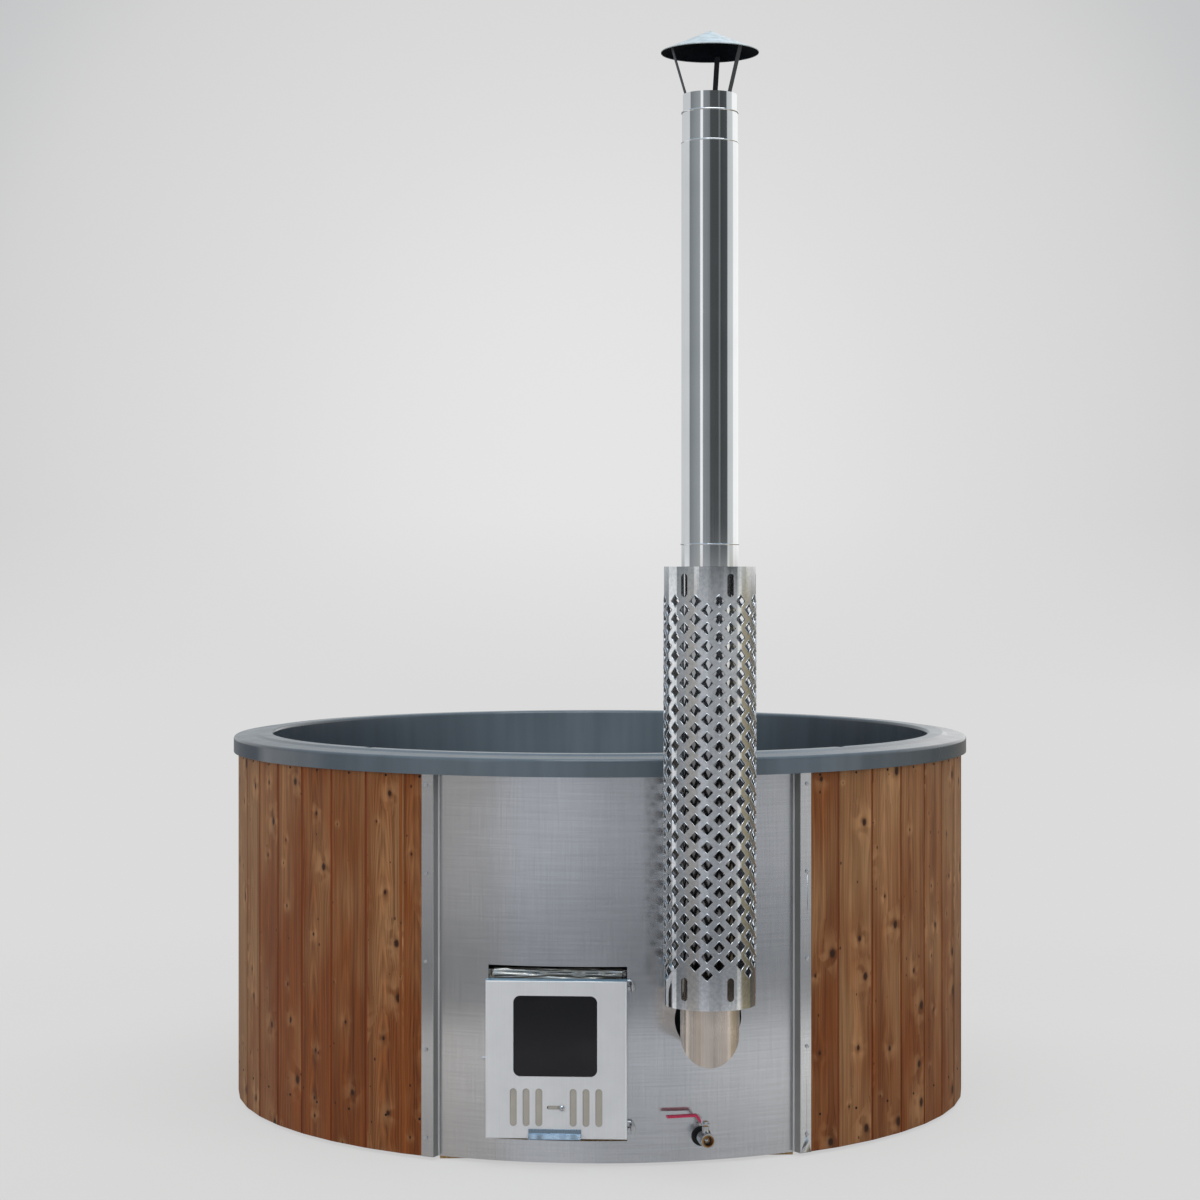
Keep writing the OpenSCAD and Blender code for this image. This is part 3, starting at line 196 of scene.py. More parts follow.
def new_object(name, shape, finish):
    """Turns a bmesh into an object of the scene, and frees it."""
    mesh = bpy.data.meshes.new(name)
    shape.to_mesh(mesh)
    shape.free()
    mesh.materials.append(finish)
    thing = bpy.data.objects.new(name, mesh)
    bpy.context.scene.collection.objects.link(thing)
    return thing


def make_piece(name, shape, finish, body, nodes):
    """Turns a bmesh into a piece that rides on a body and stands for CAD nodes."""
    piece = new_object(name, shape, finish)
    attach(piece, body)
    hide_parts(*nodes)
    return piece


def merged_copy(name):
    """A bmesh copy of a CAD node with its loose triangles merged."""
    shape = bmesh.new()
    shape.from_mesh(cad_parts[name].data)
    bmesh.ops.remove_doubles(shape, verts=shape.verts, dist=1e-6)
    return shape


def round_edges(shape, edges, width, segments=2):
    """Rounds edges, as folded or tumbled metal is."""
    bmesh.ops.bevel(
        shape, geom=edges, offset=width, offset_type="OFFSET", segments=segments, profile=0.5,
        affect="EDGES", material=-1, clamp_overlap=True,
    )


def flat_copy(name):
    """A merged copy of a CAD node whose flat faces are whole."""
    shape = merged_copy(name)
    bmesh.ops.dissolve_limit(
        shape, angle_limit=math.radians(0.4), verts=shape.verts, edges=shape.edges, delimit=set()
    )
    return shape


def hard_edges(shape, limit=35):
    """Edges whose faces meet at more than so many degrees."""
    return [e for e in shape.edges if e.is_manifold and e.calc_face_angle() > math.radians(limit)]


def join_shape(whole, part):
    """Adds a finished bmesh to another one, and frees it."""
    hold = bpy.data.meshes.new("part")
    part.to_mesh(hold)
    part.free()
    whole.from_mesh(hold)
    bpy.data.meshes.remove(hold)


def spin_round(shape, steps):
    """Spins a drawn outline a full turn round its upright axis."""
    outline = [*shape.verts, *shape.edges]
    bmesh.ops.spin(
        shape, geom=outline, cent=(0, 0, 0), axis=(0, 0, 1), angle=math.tau, steps=steps, use_merge=True
    )


def smooth_folds(shape, largest=8e-4):
    """Smooth narrow faces, such as folds and corners, between flat ones."""
    for face in shape.faces:
        face.smooth = face.calc_area() < largest


def smooth_by_angle(shape, limit):
    """Smooth faces, with edges sharper than the limit kept hard."""
    for face in shape.faces:
        face.smooth = True
    for edge in shape.edges:
        edge.smooth = not (edge.is_manifold and edge.calc_face_angle() > math.radians(limit))


def room_stops(*parts):
    """Colour stops round the room, from degrees measured from the tub's front to the right."""
    return [((degrees + 180) / 360, colour) for degrees, colour in parts]


def wall_turn(degrees):
    """A turn round the tub's axis, from the panel's middle."""
    return Matrix.Rotation(math.radians(degrees), 4, "Z")


# Finishes


def stained_spruce(wood):
    """Heat-treated spruce boards, planed, stained and brushed with oil.

    Rings run up the board and flow round the knots. The knots are dark, with pale flares at their
    sides and dark streaks above and below. The wood between the boards keeps its deep red.
    """
    finish, add, shader = new_finish("stained_spruce")
    place = add("SeparateXYZ", add("UVMap", uv_map="board"))
    across, up = place.outputs[0], place.outputs[1]
    tone = add("Attribute", attribute_name="tone")
    own = add("SeparateColor", tone.outputs["Color"])
    number, bleach, figure = own.outputs[0], own.outputs[1], own.outputs[2]

    # knots: one to a cell of 118 by 125 mm, some left out, 3 to 22 mm across
    wide, tall = 0.118, 0.125
    cell_x = add("Math multiply_add", across, 1 / wide, number)
    cell = add("CombineXYZ", cell_x, add("Math multiply_add", up, 1 / tall, 0.37))
    knots = add("TexVoronoi", {"Vector": cell, "Scale": 1.0, "Randomness": 0.9}, voronoi_dimensions="2D")
    offset = add("VectorMath subtract", cell, knots.outputs["Position"])
    metres = add("VectorMath multiply", offset, (wide, tall, 0))
    luck = add("SeparateColor", knots.outputs["Color"])
    radius = add("MapRange", add("Math power", luck.outputs[0], 1.7), 0.0, 1.0, 0.0014, 0.0112)
    present = add("Math greater_than", luck.outputs[1], 0.12)
    near = add("VectorMath scale", metres, add("Math divide", 1.0, radius))
    side = add("SeparateXYZ", metres)

    def fading(width, height):
        """A field that is 1 at the knot's middle and fades over so many knot radii."""
        spread = add("VectorMath multiply", near, (1 / width, 1 / height, 0))
        fall = add("Math multiply", add("VectorMath dot_product", spread, spread), -1.0)
        bell = add("Math exponent", fall)
        return add("Math multiply", bell, present)

    # rings wander 5 mm along the board, and spread round each knot
    wander = add("TexNoise", add("CombineXYZ", number, up), 2.3, 1.0)
    astray = add("Math multiply_add", wander, 0.02, across)
    bent = add("Math subtract", astray, add("Math multiply", side.outputs[0], fading(2.8, 7.5)))

    # fine rings every 3 to 6 mm, and broad bands of early and late wood
    ring_at = add("CombineXYZ", bent, up, number)
    fine_at = add("VectorMath multiply", ring_at, (210.0, 2.2, 7.3))
    fine = add("TexNoise", fine_at, 1.0, 4.0, 0.62)
    broad = add("TexNoise", add("VectorMath multiply", ring_at, (42.0, 1.3, 3.1)), 1.0, 2.0)

    # pointed arches of flat-sawn wood, 90 mm apart along the middle of the board
    square = add("Math multiply", bent, bent)
    arch_up = add("Math multiply_add", up, 11.0, broad)
    arch_all = add("Math multiply_add", square, 3600.0, arch_up)
    arch = add("Math sine", add("Math multiply", arch_all, math.tau))
    grain = add("Math multiply_add", add("Math multiply", arch, figure), 0.1, fine)
    rings = add("Mix float", 0.33, grain, broad)

    # the board's own tone, with sun-bleached patches and a painted sheen: lighter towards the top, redder
    # towards the ground
    patches = add("TexNoise", add("VectorMath multiply", ring_at, (9.0, 3.0, 5.7)), 1.0, 2.0)
    patchy = add("MapRange", patches, 0.35, 0.65, -0.35, 0.35)
    sun = add("Math add", patchy, add("MapRange", up, 0.1, 0.7, -0.22, 0.14))
    bleached = add("Math add", bleach, sun, use_clamp=True)
    base = add("Mix rgba", bleached, wood.fresh, wood.worn)
    streaks = add(
        "ValToRGB", rings,
        stops=(
            (0.32, (0.5, 0.43, 0.38, 1)), (0.45, (0.82, 0.78, 0.74, 1)), (0.53, (1.03, 1.02, 1.01, 1)),
            (0.68, (1.44, 1.48, 1.5, 1)),
        ),
    )
    grained = add("Mix rgba", 1.0, base, streaks, blend_type="MULTIPLY")
    one_sided = add("MapRange", add("TexNoise", cell, 3.2, 1.0), 0.42, 0.54, 0.0, 1.0)
    dry_side = add("Math multiply", one_sided, add("MapRange", bleached, 0.0, 1.0, 0.4, 1.0))
    flare = add("Math multiply", fading(3.6, 4.4), dry_side)
    flared = add("Mix rgba", flare, grained, scaled(wood.worn, 1.7))
    weeping = add("Math multiply", fading(1.2, 6.0), 0.4)
    streaked = add("Mix rgba", weeping, flared, scaled(wood.fresh, 0.5))
    halo = add("Math multiply", fading(1.5, 1.8), 0.6)
    haloed = add("Mix rgba", halo, streaked, scaled(wood.fresh, 0.42))
    # pin knots: dark dots 2 to 5 mm across, one to a cell of 60 by 90 mm
    pin_cell = add("VectorMath multiply", cell, (1.97, 1.39, 0))
    pins = add("TexVoronoi", {"Vector": pin_cell, "Scale": 1.0, "Randomness": 1.0}, voronoi_dimensions="2D")
    pin_luck = add("SeparateColor", pins.outputs["Color"])
    pin_size = add("MapRange", pin_luck.outputs[0], 0.45, 1.0, 0.0, 0.045)
    pin = add("MapRange", add("Math subtract", pin_size, pins), -0.012, 0.01, 0.0, 0.85)
    pinned = add("Mix rgba", pin, haloed, wood.knot)
    wobble = add("TexNoise", cell, 26.0, 2.0)
    reach = add("VectorMath length", add("VectorMath multiply", near, (1.0, 0.75, 0)))
    edge = add("Math multiply_add", wobble, 0.5, reach)
    knot = add("Math multiply", add("MapRange", edge, 0.8, 1.3, 0.95, 0.0), present)
    knotted = add("Mix rgba", knot, pinned, wood.knot)
    face_end = wood.cover / 2 + SIDE_GAP - wood.seam
    seam = add("MapRange", across, face_end - 0.0015, face_end + 0.0005)
    coloured = add("Mix rgba", seam, knotted, wood.deep)
    rough = add("MapRange", rings, 0.3, 0.7, 0.5, 0.66)
    bump = add("Bump", {"Height": rings, "Strength": 0.45, "Distance": 0.0008})
    plug(shader, {"Specular IOR Level": 0.25, "Base Color": coloured, "Roughness": rough, "Normal": bump})
    return finish


def sheet_steel(
    name, colour, roughness, brush=(900.0, 900.0, 5.0), spread=0.05, anisotropic=0.0, mottle=9.0,
    bump=0.05, bare=1.0,
):
    """Steel with its mill or brush marks: fine streaks, and soft clouds where it was handled.

    The marks are about 1 mm wide, drawn a little coarser than real ones so that they show.
    Brushed sheet scatters light as a grey surface does, so part of it isn't bare metal.
    """
    finish, add, shader = new_finish(name)
    where = add("TexCoord").outputs["Object"]
    marks = add("TexNoise", add("Mapping", {"Vector": where, "Scale": brush}), 1.0, 2.0, 0.5)
    both = add("Mix float", 0.6, marks, add("TexNoise", where, mottle, 3.0, 0.55))
    tint = add(
        "ValToRGB", both, stops=((0.35, scaled(colour, 1 - spread)), (0.65, scaled(colour, 1 + spread)))
    )
    rough = add("MapRange", both, 0.35, 0.65, roughness * 0.85, roughness * 1.15)
    relief = add("Bump", {"Height": marks, "Strength": bump, "Distance": 0.0002})
    plug(
        shader,
        {
            "Metallic": bare, "Anisotropic": anisotropic, "Base Color": tint, "Roughness": rough,
            "Normal": relief,
        },
    )
    return finish


def rolled_panel(name, colour):
    """Cold-rolled stainless sheet, wiped upright and across: soft level bands of reflection.

    Faint lines 2 mm apart run up the sheet and others, 3 mm apart, across it; real ones are finer.
    """
    finish, add, shader = new_finish(name)
    where = add("TexCoord").outputs["Object"]
    upright_at = add("Mapping", {"Vector": where, "Scale": (480.0, 480.0, 9.0)})
    upright = add("TexNoise", upright_at, 1.0, 2.0)
    across_at = add("Mapping", {"Vector": where, "Scale": (7.0, 7.0, 330.0)})
    across = add("TexNoise", across_at, 1.0, 2.0)
    clouds = add("TexNoise", where, 4.5, 3.0)
    weave = add("Mix float", 0.5, upright, across)
    lines = add("ValToRGB", weave, stops=((0.3, (0.88, 0.88, 0.88, 1)), (0.7, (1.08, 1.08, 1.08, 1))))
    wiped = add("ValToRGB", clouds, stops=((0.3, scaled(colour, 0.95)), (0.7, scaled(colour, 1.05))))
    tint = add("Mix rgba", 1.0, wiped, lines, blend_type="MULTIPLY")
    rough = add("MapRange", clouds, 0.3, 0.7, 0.1, 0.15)
    plug(shader, {"Metallic": 0.9, "Anisotropic": 1.0, "Base Color": tint, "Roughness": rough})
    return finish


def heated_flue(colour):
    """Polished flue pipe that has gone dull and dark where it runs hot inside the guard."""
    finish, add, shader = new_finish("heated_flue")
    guard_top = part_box("heat_guard")[1].z
    where = add("TexCoord").outputs["Object"]
    height = add("SeparateXYZ", where)
    hot = add("MapRange", height.outputs[2], guard_top - 0.5, guard_top - 0.2, 1.0, 0.0)
    drawn_at = add("Mapping", {"Vector": where, "Scale": (500.0, 500.0, 3.0)})
    drawn = add("TexNoise", drawn_at, 1.0, 2.0)
    bright = add("ValToRGB", drawn, stops=((0.35, scaled(colour, 0.96)), (0.65, colour)))
    dull = add("ValToRGB", drawn, stops=((0.35, "#8A8888"), (0.65, "#9A9896")))
    tint = add("Mix rgba", hot, bright, dull)
    rough = add("MapRange", hot, 0.0, 1.0, 0.07, 0.14)
    plug(shader, {"Metallic": 1.0, "Base Color": tint, "Roughness": rough})
    return finish


def speckled(name, dark, light, roughness, scale, bump=0.2, depth=0.0003, metallic=0.0, stretch=(1, 1, 1)):
    """A cast, pressed, moulded or woven surface with grains of two tones and a fine relief."""
    finish, add, shader = new_finish(name)
    where = add("TexCoord").outputs["Object"]
    place = add("Mapping", {"Vector": where, "Scale": stretch})
    grains = add("TexNoise", place, scale, 5.0, 0.62)
    tint = add("ValToRGB", grains, stops=((0.35, dark), (0.65, light)))
    rough = add("MapRange", grains, 0.3, 0.7, roughness * 0.88, min(1.0, roughness * 1.12))
    relief = add("Bump", {"Height": grains, "Strength": bump, "Distance": depth})
    plug(shader, {"Metallic": metallic, "Base Color": tint, "Roughness": rough, "Normal": relief})
    return finish


def sooted_hat():
    """Sheet hat: bright and weathered above, black on the faces that point down."""
    finish, add, shader = new_finish("sooted_hat")
    where = add("TexCoord").outputs["Object"]
    facing = add("NewGeometry")
    parts = add("SeparateXYZ", facing.outputs["True Normal"])
    spots = add("TexNoise", where, 60.0, 4.0)
    above = add("MapRange", parts.outputs[2], -0.05, 0.05)
    bright = add("ValToRGB", spots, stops=((0.35, "#C3CDCF"), (0.65, "#DFE8EA")))
    # the faces that point down are black
    soot = add("ValToRGB", spots, stops=((0.35, "#03060B"), (0.65, "#0A0F15")))
    tint = add("Mix rgba", above, soot, bright)
    rough = add("MapRange", above, 0.0, 1.0, 0.7, 0.3)
    metal = add("Math multiply", above, 0.6)
    relief = add("Bump", {"Height": spots, "Strength": 0.2, "Distance": 0.0004})
    plug(
        shader,
        {
            "Specular IOR Level": 0.05, "Base Color": tint, "Roughness": rough, "Metallic": metal,
            "Normal": relief,
        },
    )
    return finish


def mirror_guard():
    """Mirror-finished stainless sheet, punched and rolled; its inner side is dull from the heat."""
    finish, add, shader = new_finish("mirror_guard")
    low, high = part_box("heat_guard")
    axis = (low + high) / 2
    where = add("TexCoord").outputs["Object"]
    from_axis = add("VectorMath subtract", where, (axis.x, axis.y, 0))
    facing = add("NewGeometry")
    outwards = add("VectorMath multiply", from_axis, (1, 1, 0))
    toward = add("VectorMath dot_product", outwards, facing.outputs["True Normal"])
    outside = add("MapRange", toward, -0.05, 0.05)
    upright = add("Mapping", {"Vector": where, "Scale": (75.0, 75.0, 2.5)})
    waves = add("TexNoise", upright, 1.0, 2.0)
    bright = add(
        "ValToRGB", add("TexNoise", where, 130.0, 3.0), stops=((0.35, "#D6D9DC"), (0.65, "#E8E9EA"))
    )
    tint = add("Mix rgba", outside, "#96979B", bright)
    rough = add("MapRange", outside, 0.0, 1.0, 0.25, 0.08)
    relief = add("Bump", {"Height": waves, "Strength": 0.4, "Distance": 0.0012})
    plug(shader, {"Metallic": 1.0, "Base Color": tint, "Roughness": rough, "Normal": relief})
    return finish


def cut_mouth():
    """The valve's end: nickel outside, bare brass where its thread was cut."""
    finish, add, shader = new_finish("nickel_and_brass_mouth")
    low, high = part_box("valve_end")
    middle = (low + high) / 2
    where = add("TexCoord").outputs["Object"]
    off = add("VectorMath subtract", where, (middle.x, 0, middle.z))
    radius = add("VectorMath length", add("VectorMath multiply", off, (1, 0, 1)))
    cut = add("MapRange", radius, 0.014, 0.015, 1.0, 0.0)
    turned = add("TexNoise", where, 260.0, 2.0)
    tint = add("Mix rgba", cut, "#CFD1D3", "#B98E58")
    rough = add("MapRange", turned, 0.3, 0.7, 0.14, 0.26)
    plug(shader, {"Metallic": 1.0, "Base Color": tint, "Roughness": rough})
    return finish


def gelcoat(liner):
    """Polyester gelcoat over glass fibre: deep gloss, faint waves and a fine orange peel."""
    finish, add, shader = new_finish("gelcoat")
    where = add("TexCoord").outputs["Object"]
    waves = add("TexNoise", where, 14.0, 2.0)
    peel = add("TexNoise", where, 160.0, 2.0)
    runs = add("Mapping", {"Vector": where, "Scale": (22.0, 22.0, 1.5)})
    streaks = add("TexNoise", runs, 1.0, 3.0)
    tint = add(
        "ValToRGB", streaks, stops=((0.3, scaled(liner.gelcoat, 0.9)), (0.7, scaled(liner.gelcoat, 1.1)))
    )
    # painted light and shade: the wall inside is painted lightest in the middle, and the rim is painted
    # darker towards both sides
    place = add("SeparateXYZ", where)
    radius = add("VectorMath length", add("VectorMath multiply", where, (1, 1, 0)))
    inside = add("MapRange", radius, 0.876, 0.886, 1.0, 0.0)
    sideways = add("Math absolute", place.outputs[0])
    wall = add(
        "ValToRGB", sideways,
        stops=((0.1, (1.45, 1.45, 1.42, 1)), (0.4, (1.0, 1.0, 1.0, 1)), (0.78, (0.4, 0.4, 0.42, 1))),
    )
    rim = add("ValToRGB", sideways, stops=((0.45, (1.0, 1.0, 1.0, 1)), (0.95, (0.42, 0.42, 0.43, 1))))
    part = add("Mix rgba", inside, rim, wall)
    shaded = add("Mix rgba", 1.0, tint, part, blend_type="MULTIPLY")
    rough = add("MapRange", waves, 0.3, 0.7, 0.13, 0.2)
    height = add("Mix float", 0.25, waves, peel)
    relief = add("Bump", {"Height": height, "Strength": 0.06, "Distance": 0.001})
    plug(
        shader,
        {
            "Coat Weight": 0.25, "Specular IOR Level": 0.4, "Coat Roughness": 0.06, "Base Color": shaded,
            "Roughness": rough, "Normal": relief,
        },
    )
    return finish


def sawn_softwood(name, along):
    """Rough-sawn spruce battens, unstained: pale yellow with brown rings along the piece."""
    finish, add, shader = new_finish(name)
    where = add("TexCoord").outputs["Object"]
    rings = add("TexNoise", add("Mapping", {"Vector": where, "Scale": along}), 1.0, 4.0, 0.6)
    tint = add("ValToRGB", rings, stops=((0.32, "#A9824F"), (0.5, "#CBA873"), (0.68, "#DDC08F")))
    rough = add("MapRange", rings, 0.3, 0.7, 0.68, 0.82)
    relief = add("Bump", {"Height": rings, "Strength": 0.4, "Distance": 0.0006})
    plug(shader, {"Base Color": tint, "Roughness": rough, "Normal": relief})
    return finish


def stove_glass():
    """Ceramic stove glass, painted nearly black as the painted shade of the cold firebox behind it, with a
    haze of soot low down.
    """
    finish, add, shader = new_finish("stove_glass")
    where = add("TexCoord").outputs["Object"]
    soot = add("TexNoise", where, 11.0, 4.0)
    height = add("SeparateXYZ", where)
    low = add("MapRange", height.outputs[2], 0.36, 0.27, 0.0, 0.6)
    tint = add(
        "ValToRGB", add("Math multiply_add", soot, 0.4, low), stops=((0.1, "#060609"), (0.8, "#19171A"))
    )
    rough = add("MapRange", soot, 0.3, 0.7, 0.08, 0.2)
    plug(shader, {"Specular IOR Level": 0.35, "Base Color": tint, "Roughness": rough})
    return finish


# Pieces


def add_board(shape, wood, number, bottom, top, tone):
    """One board: its section is drawn, drawn up to its length and eased at its front edges."""
    half, back, front = wood.cover / 2, WALL_BACK, WALL_FRONT
    left, right, next_left = -half + SIDE_GAP, half - SIDE_GAP, half + SIDE_GAP
    groove_floor, groove_low, groove_high = left + 0.008, 0.9545, 0.9625
    tongue_end, tongue_low, tongue_high = half + 0.0045, 0.956, 0.961
    step_side, seam_floor, face_end = next_left - 0.0014, 0.9675, next_left - wood.seam
    # points of the section: across the board, and out from the tub's axis
    groove = [(left, groove_high), (groove_floor, groove_high)]
    groove += [(groove_floor, groove_low), (left, groove_low)]
    if number == LAST_BOARD:
        points = [(left, front), *groove, (left, back), (wood.ripped, back), (wood.ripped, front)]
    else:
        tongue = [(right, tongue_low), (tongue_end, tongue_low), (tongue_end, tongue_high)]
        step = [(step_side, tongue_high), (step_side, seam_floor), (face_end, seam_floor)]
        points = [(left, front), *groove, (left, back), (right, back), *tongue, *step, (face_end, front)]
    new = bmesh.new()
    uv = new.loops.layers.uv.new("board")
    paint = new.verts.layers.float_color.new("tone")
    section = new.faces.new([new.verts.new((x, -r, bottom)) for x, r in points])
    drawn = bmesh.ops.extrude_face_region(new, geom=[section])
    raised = [v for v in drawn["geom"] if isinstance(v, bmesh.types.BMVert)]
    bmesh.ops.translate(new, verts=raised, vec=(0, 0, top - bottom))
    bmesh.ops.recalc_face_normals(new, faces=new.faces)
    eased = [e for e in new.edges if all(abs(v.co.y + front) < 1e-5 for v in e.verts)]
    bmesh.ops.bevel(
        new, geom=eased, offset=wood.easing, segments=2, profile=0.5, affect="EDGES", material=-1
    )
    for face in new.faces:
        for loop in face.loops:
            co = loop.vert.co
            loop[uv].uv = (co.x, co.z + (co.y + front))
    for vert in new.verts:
        vert[paint] = tone
    for face in new.faces:
        face.smooth = min(e.calc_length() for e in face.edges) < 0.0015
    turn = LAST_TURN if number == LAST_BOARD else FIRST_EDGE + (number + 0.5) * BOARD_TURN
    bmesh.ops.transform(new, matrix=wall_turn(turn), verts=new.verts)
    join_shape(shape, new)


class HOTTUB_OT_boards(bpy.types.Operator):
    """Make the 45 tongue-and-groove boards, in five stretches of nine"""

    bl_idname = "hottub.boards"
    bl_label = "Boards"

    def execute(self, context):
        wood = context.scene.hot_tub_wood
        finish = stained_spruce(wood)
        low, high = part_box("cladding_1")
        luck = random.Random(7)
        for stretch in range(5):
            shape = bmesh.new()
            shape.loops.layers.uv.new("board")
            shape.verts.layers.float_color.new("tone")
            for step in range(9):
                number = stretch * 9 + step
                # the boards at both sides of the tub are lighter: bleached by the sun, and a painted sheen
                sunny = 0.35 if 2 < number < 12 or 32 < number < 40 else 0.0
                tone = (number * 5.0 + 0.5, luck.uniform(0.0, 1.0) + sunny, luck.uniform(0.1, 1.0), 1.0)
                add_board(shape, wood, number, low.z, high.z, tone)
            make_piece(
                f"boards_{stretch + 1}", shape, finish, "tub", [f"cladding_{stretch + 1}"]
            )
        return {"FINISHED"}


class HOTTUB_OT_nails(bpy.types.Operator):
    """Finish the blued nails in the boards"""

    bl_idname = "hottub.nails"
    bl_label = "Nails"

    def execute(self, context):
        # blued wire nails: blue-black with rust-brown specks
        dress(speckled("blued_nails", "#15171B", "#2B2422", 0.55, 900.0, metallic=0.6), "cladding_nails")
        return {"FINISHED"}


class HOTTUB_OT_liner(bpy.types.Operator):
    """Finish the moulded liner"""

    bl_idname = "hottub.liner"
    bl_label = "Liner"

    def execute(self, context):
        dress(gelcoat(context.scene.hot_tub_liner), "liner")
        return {"FINISHED"}


def add_foot(strip):
    """The angle's leg ends in a narrow foot that lies on the panel."""
    width, thick = 0.0036, 0.002
    ends = [math.atan2(v.co.x, -v.co.y) for v in strip.verts if v.co.xy.length < PANEL_FACE + 0.004]
    leg = min(ends, key=abs)
    middle = leg - math.copysign(width / 2, leg) / PANEL_FACE
    bottom, top = min(v.co.z for v in strip.verts), max(v.co.z for v in strip.verts)
    size = Matrix.Diagonal((width, thick, top - bottom, 1))
    place = Matrix.Translation((0, -PANEL_FACE - thick / 2, (bottom + top) / 2))
    foot = bmesh.new()
    bmesh.ops.create_cube(foot, size=1, matrix=wall_turn(math.degrees(middle)) @ place @ size)
    round_edges(foot, [e for e in foot.edges if e.calc_length() > 0.5], 0.0004, 1)
    # the foot takes slot 2: a painted highlight
    for face in foot.faces:
        face.material_index = 2
    join_shape(strip, foot)


def screw_heads():
    """The screws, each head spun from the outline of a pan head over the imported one."""
    whole = merged_copy("trim_screws")
    smooth_by_angle(whole, 30)
    pitch, first = 0.2087, 0.053  # between the screws of a trim, and the height of its lowest
    tall = 0.0022  # of a packed head
    heads = {}
    for vert in whole.verts:
        heads.setdefault((vert.co.x > 0, round((vert.co.z - first) / pitch)), []).append(vert.co.copy())
    # radius and height: the head's side, its dome, and the recess for the driver
    side, dome = ((0.0046, 0), (0.0046, 0.0009)), ((0.0038, 0.002), (0.0022, 0.0026))
    outline = (*side, *dome, (0.0013, 0.0025), (0.0007, 0.0004))
    for points in heads.values():
        face = max(p.xy.length for p in points)
        out = [p for p in points if p.xy.length > face - 0.0008]
        middle = sum(out, Vector()) / len(out)
        head = bmesh.new()
        drawn = [head.verts.new((r, 0, up)) for r, up in outline]
        for pair in zip(drawn, drawn[1:]):
            head.edges.new(pair)
        spin_round(head, 20)
        bmesh.ops.recalc_face_normals(head, faces=head.faces)
        smooth_by_angle(head, 50)
        azimuth = math.atan2(middle.x, -middle.y)
        seat = middle * ((face - tall) / middle.xy.length)
        aim = wall_turn(math.degrees(azimuth)) @ Matrix.Rotation(math.pi / 2, 4, "X")
        place = Matrix.Translation((seat.x, seat.y, middle.z)) @ aim
        bmesh.ops.transform(head, matrix=place, verts=head.verts)
        join_shape(whole, head)
    return whole


class HOTTUB_OT_panel(bpy.types.Operator):
    """Finish the curved panel, and make its trims' screws"""

    bl_idname = "hottub.panel"
    bl_label = "Panel and trims"

    def execute(self, context):
        steel = context.scene.hot_tub_steel
        dress(rolled_panel("rolled_panel_steel", steel.panel), "front_panel")
        # the angles are of the panel's sheet, with legs in painted shade and feet with a painted highlight
        angle = rolled_panel("rolled_angle_steel", scaled(steel.panel, 0.94))
        leg = sheet_steel("leg_steel_painted_shade", "#8B8B89", 0.5, bump=0.0, bare=0.3)
        bright = sheet_steel("foot_steel_painted_highlight", "#E2E4E6", 0.35, bump=0.0, bare=0.3)
        plate_back = 0.9695  # radius between a strip's front plate and its leg
        for side in ("left", "right"):
            strip = flat_copy(f"trim_{side}")
            round_edges(strip, [e for e in hard_edges(strip) if e.calc_length() > 0.5], 0.0009)
            smooth_folds(strip)
            for face in strip.faces:
                # the legs, behind the front plate, take slot 1: painted shade
                face.material_index = int(face.calc_center_median().xy.length < plate_back)
            add_foot(strip)
            piece = make_piece(f"edge_strip_{side}", strip, angle, "tub", [f"trim_{side}"])
            piece.data.materials.append(leg)
            piece.data.materials.append(bright)
        # zinc-plated screws: domed heads with a recess for the driver
        zinc = sheet_steel("zinc_plate", "#D4D6D8", 0.22, brush=(300.0, 300.0, 300.0))
        make_piece("trim_screw_heads", screw_heads(), zinc, "tub", ["trim_screws"])
        return {"FINISHED"}


def folded_sheet(fold):
    """The door's sheet with rounded folds round its front and broken edges at its holes."""
    shape = flat_copy("door_panel")
    squared = Matrix.Rotation(math.radians(STOVE_TURN), 4, "Z")
    bmesh.ops.transform(shape, matrix=squared, verts=shape.verts)
    front = min(v.co.y for v in shape.verts)
    side = 0.25  # the door's own edges are longer, those of its holes shorter
    long = [e for e in shape.edges if e.calc_length() > side]
    outline = [e for e in long if all(v.co.y < front + 1e-4 for v in e.verts)]
    round_edges(shape, outline, fold, 3)
    round_edges(shape, [e for e in hard_edges(shape, 60) if e.calc_length() < side], 0.0006, 1)
    smooth_folds(shape)
    shape.normal_update()
    top = max(v.co.z for v in shape.verts)
    right = max(v.co.x for v in shape.verts)
    # slot 1, the top flange, takes the painted sky reflection; slot 2, the top and right folds, the painted
    # highlight
    for face in shape.faces:
        middle = face.calc_center_median()
        if middle.z > top - fold and face.normal.z > 0.95:
            face.material_index = 1
        elif middle.z > top - fold and face.normal.z > 0.1 and face.normal.y < -0.1:
            face.material_index = 2
        elif middle.x > right - fold and face.normal.x > 0.1 and face.normal.y < -0.1:
            face.material_index = 2
    bmesh.ops.transform(shape, matrix=squared.inverted(), verts=shape.verts)
    return shape


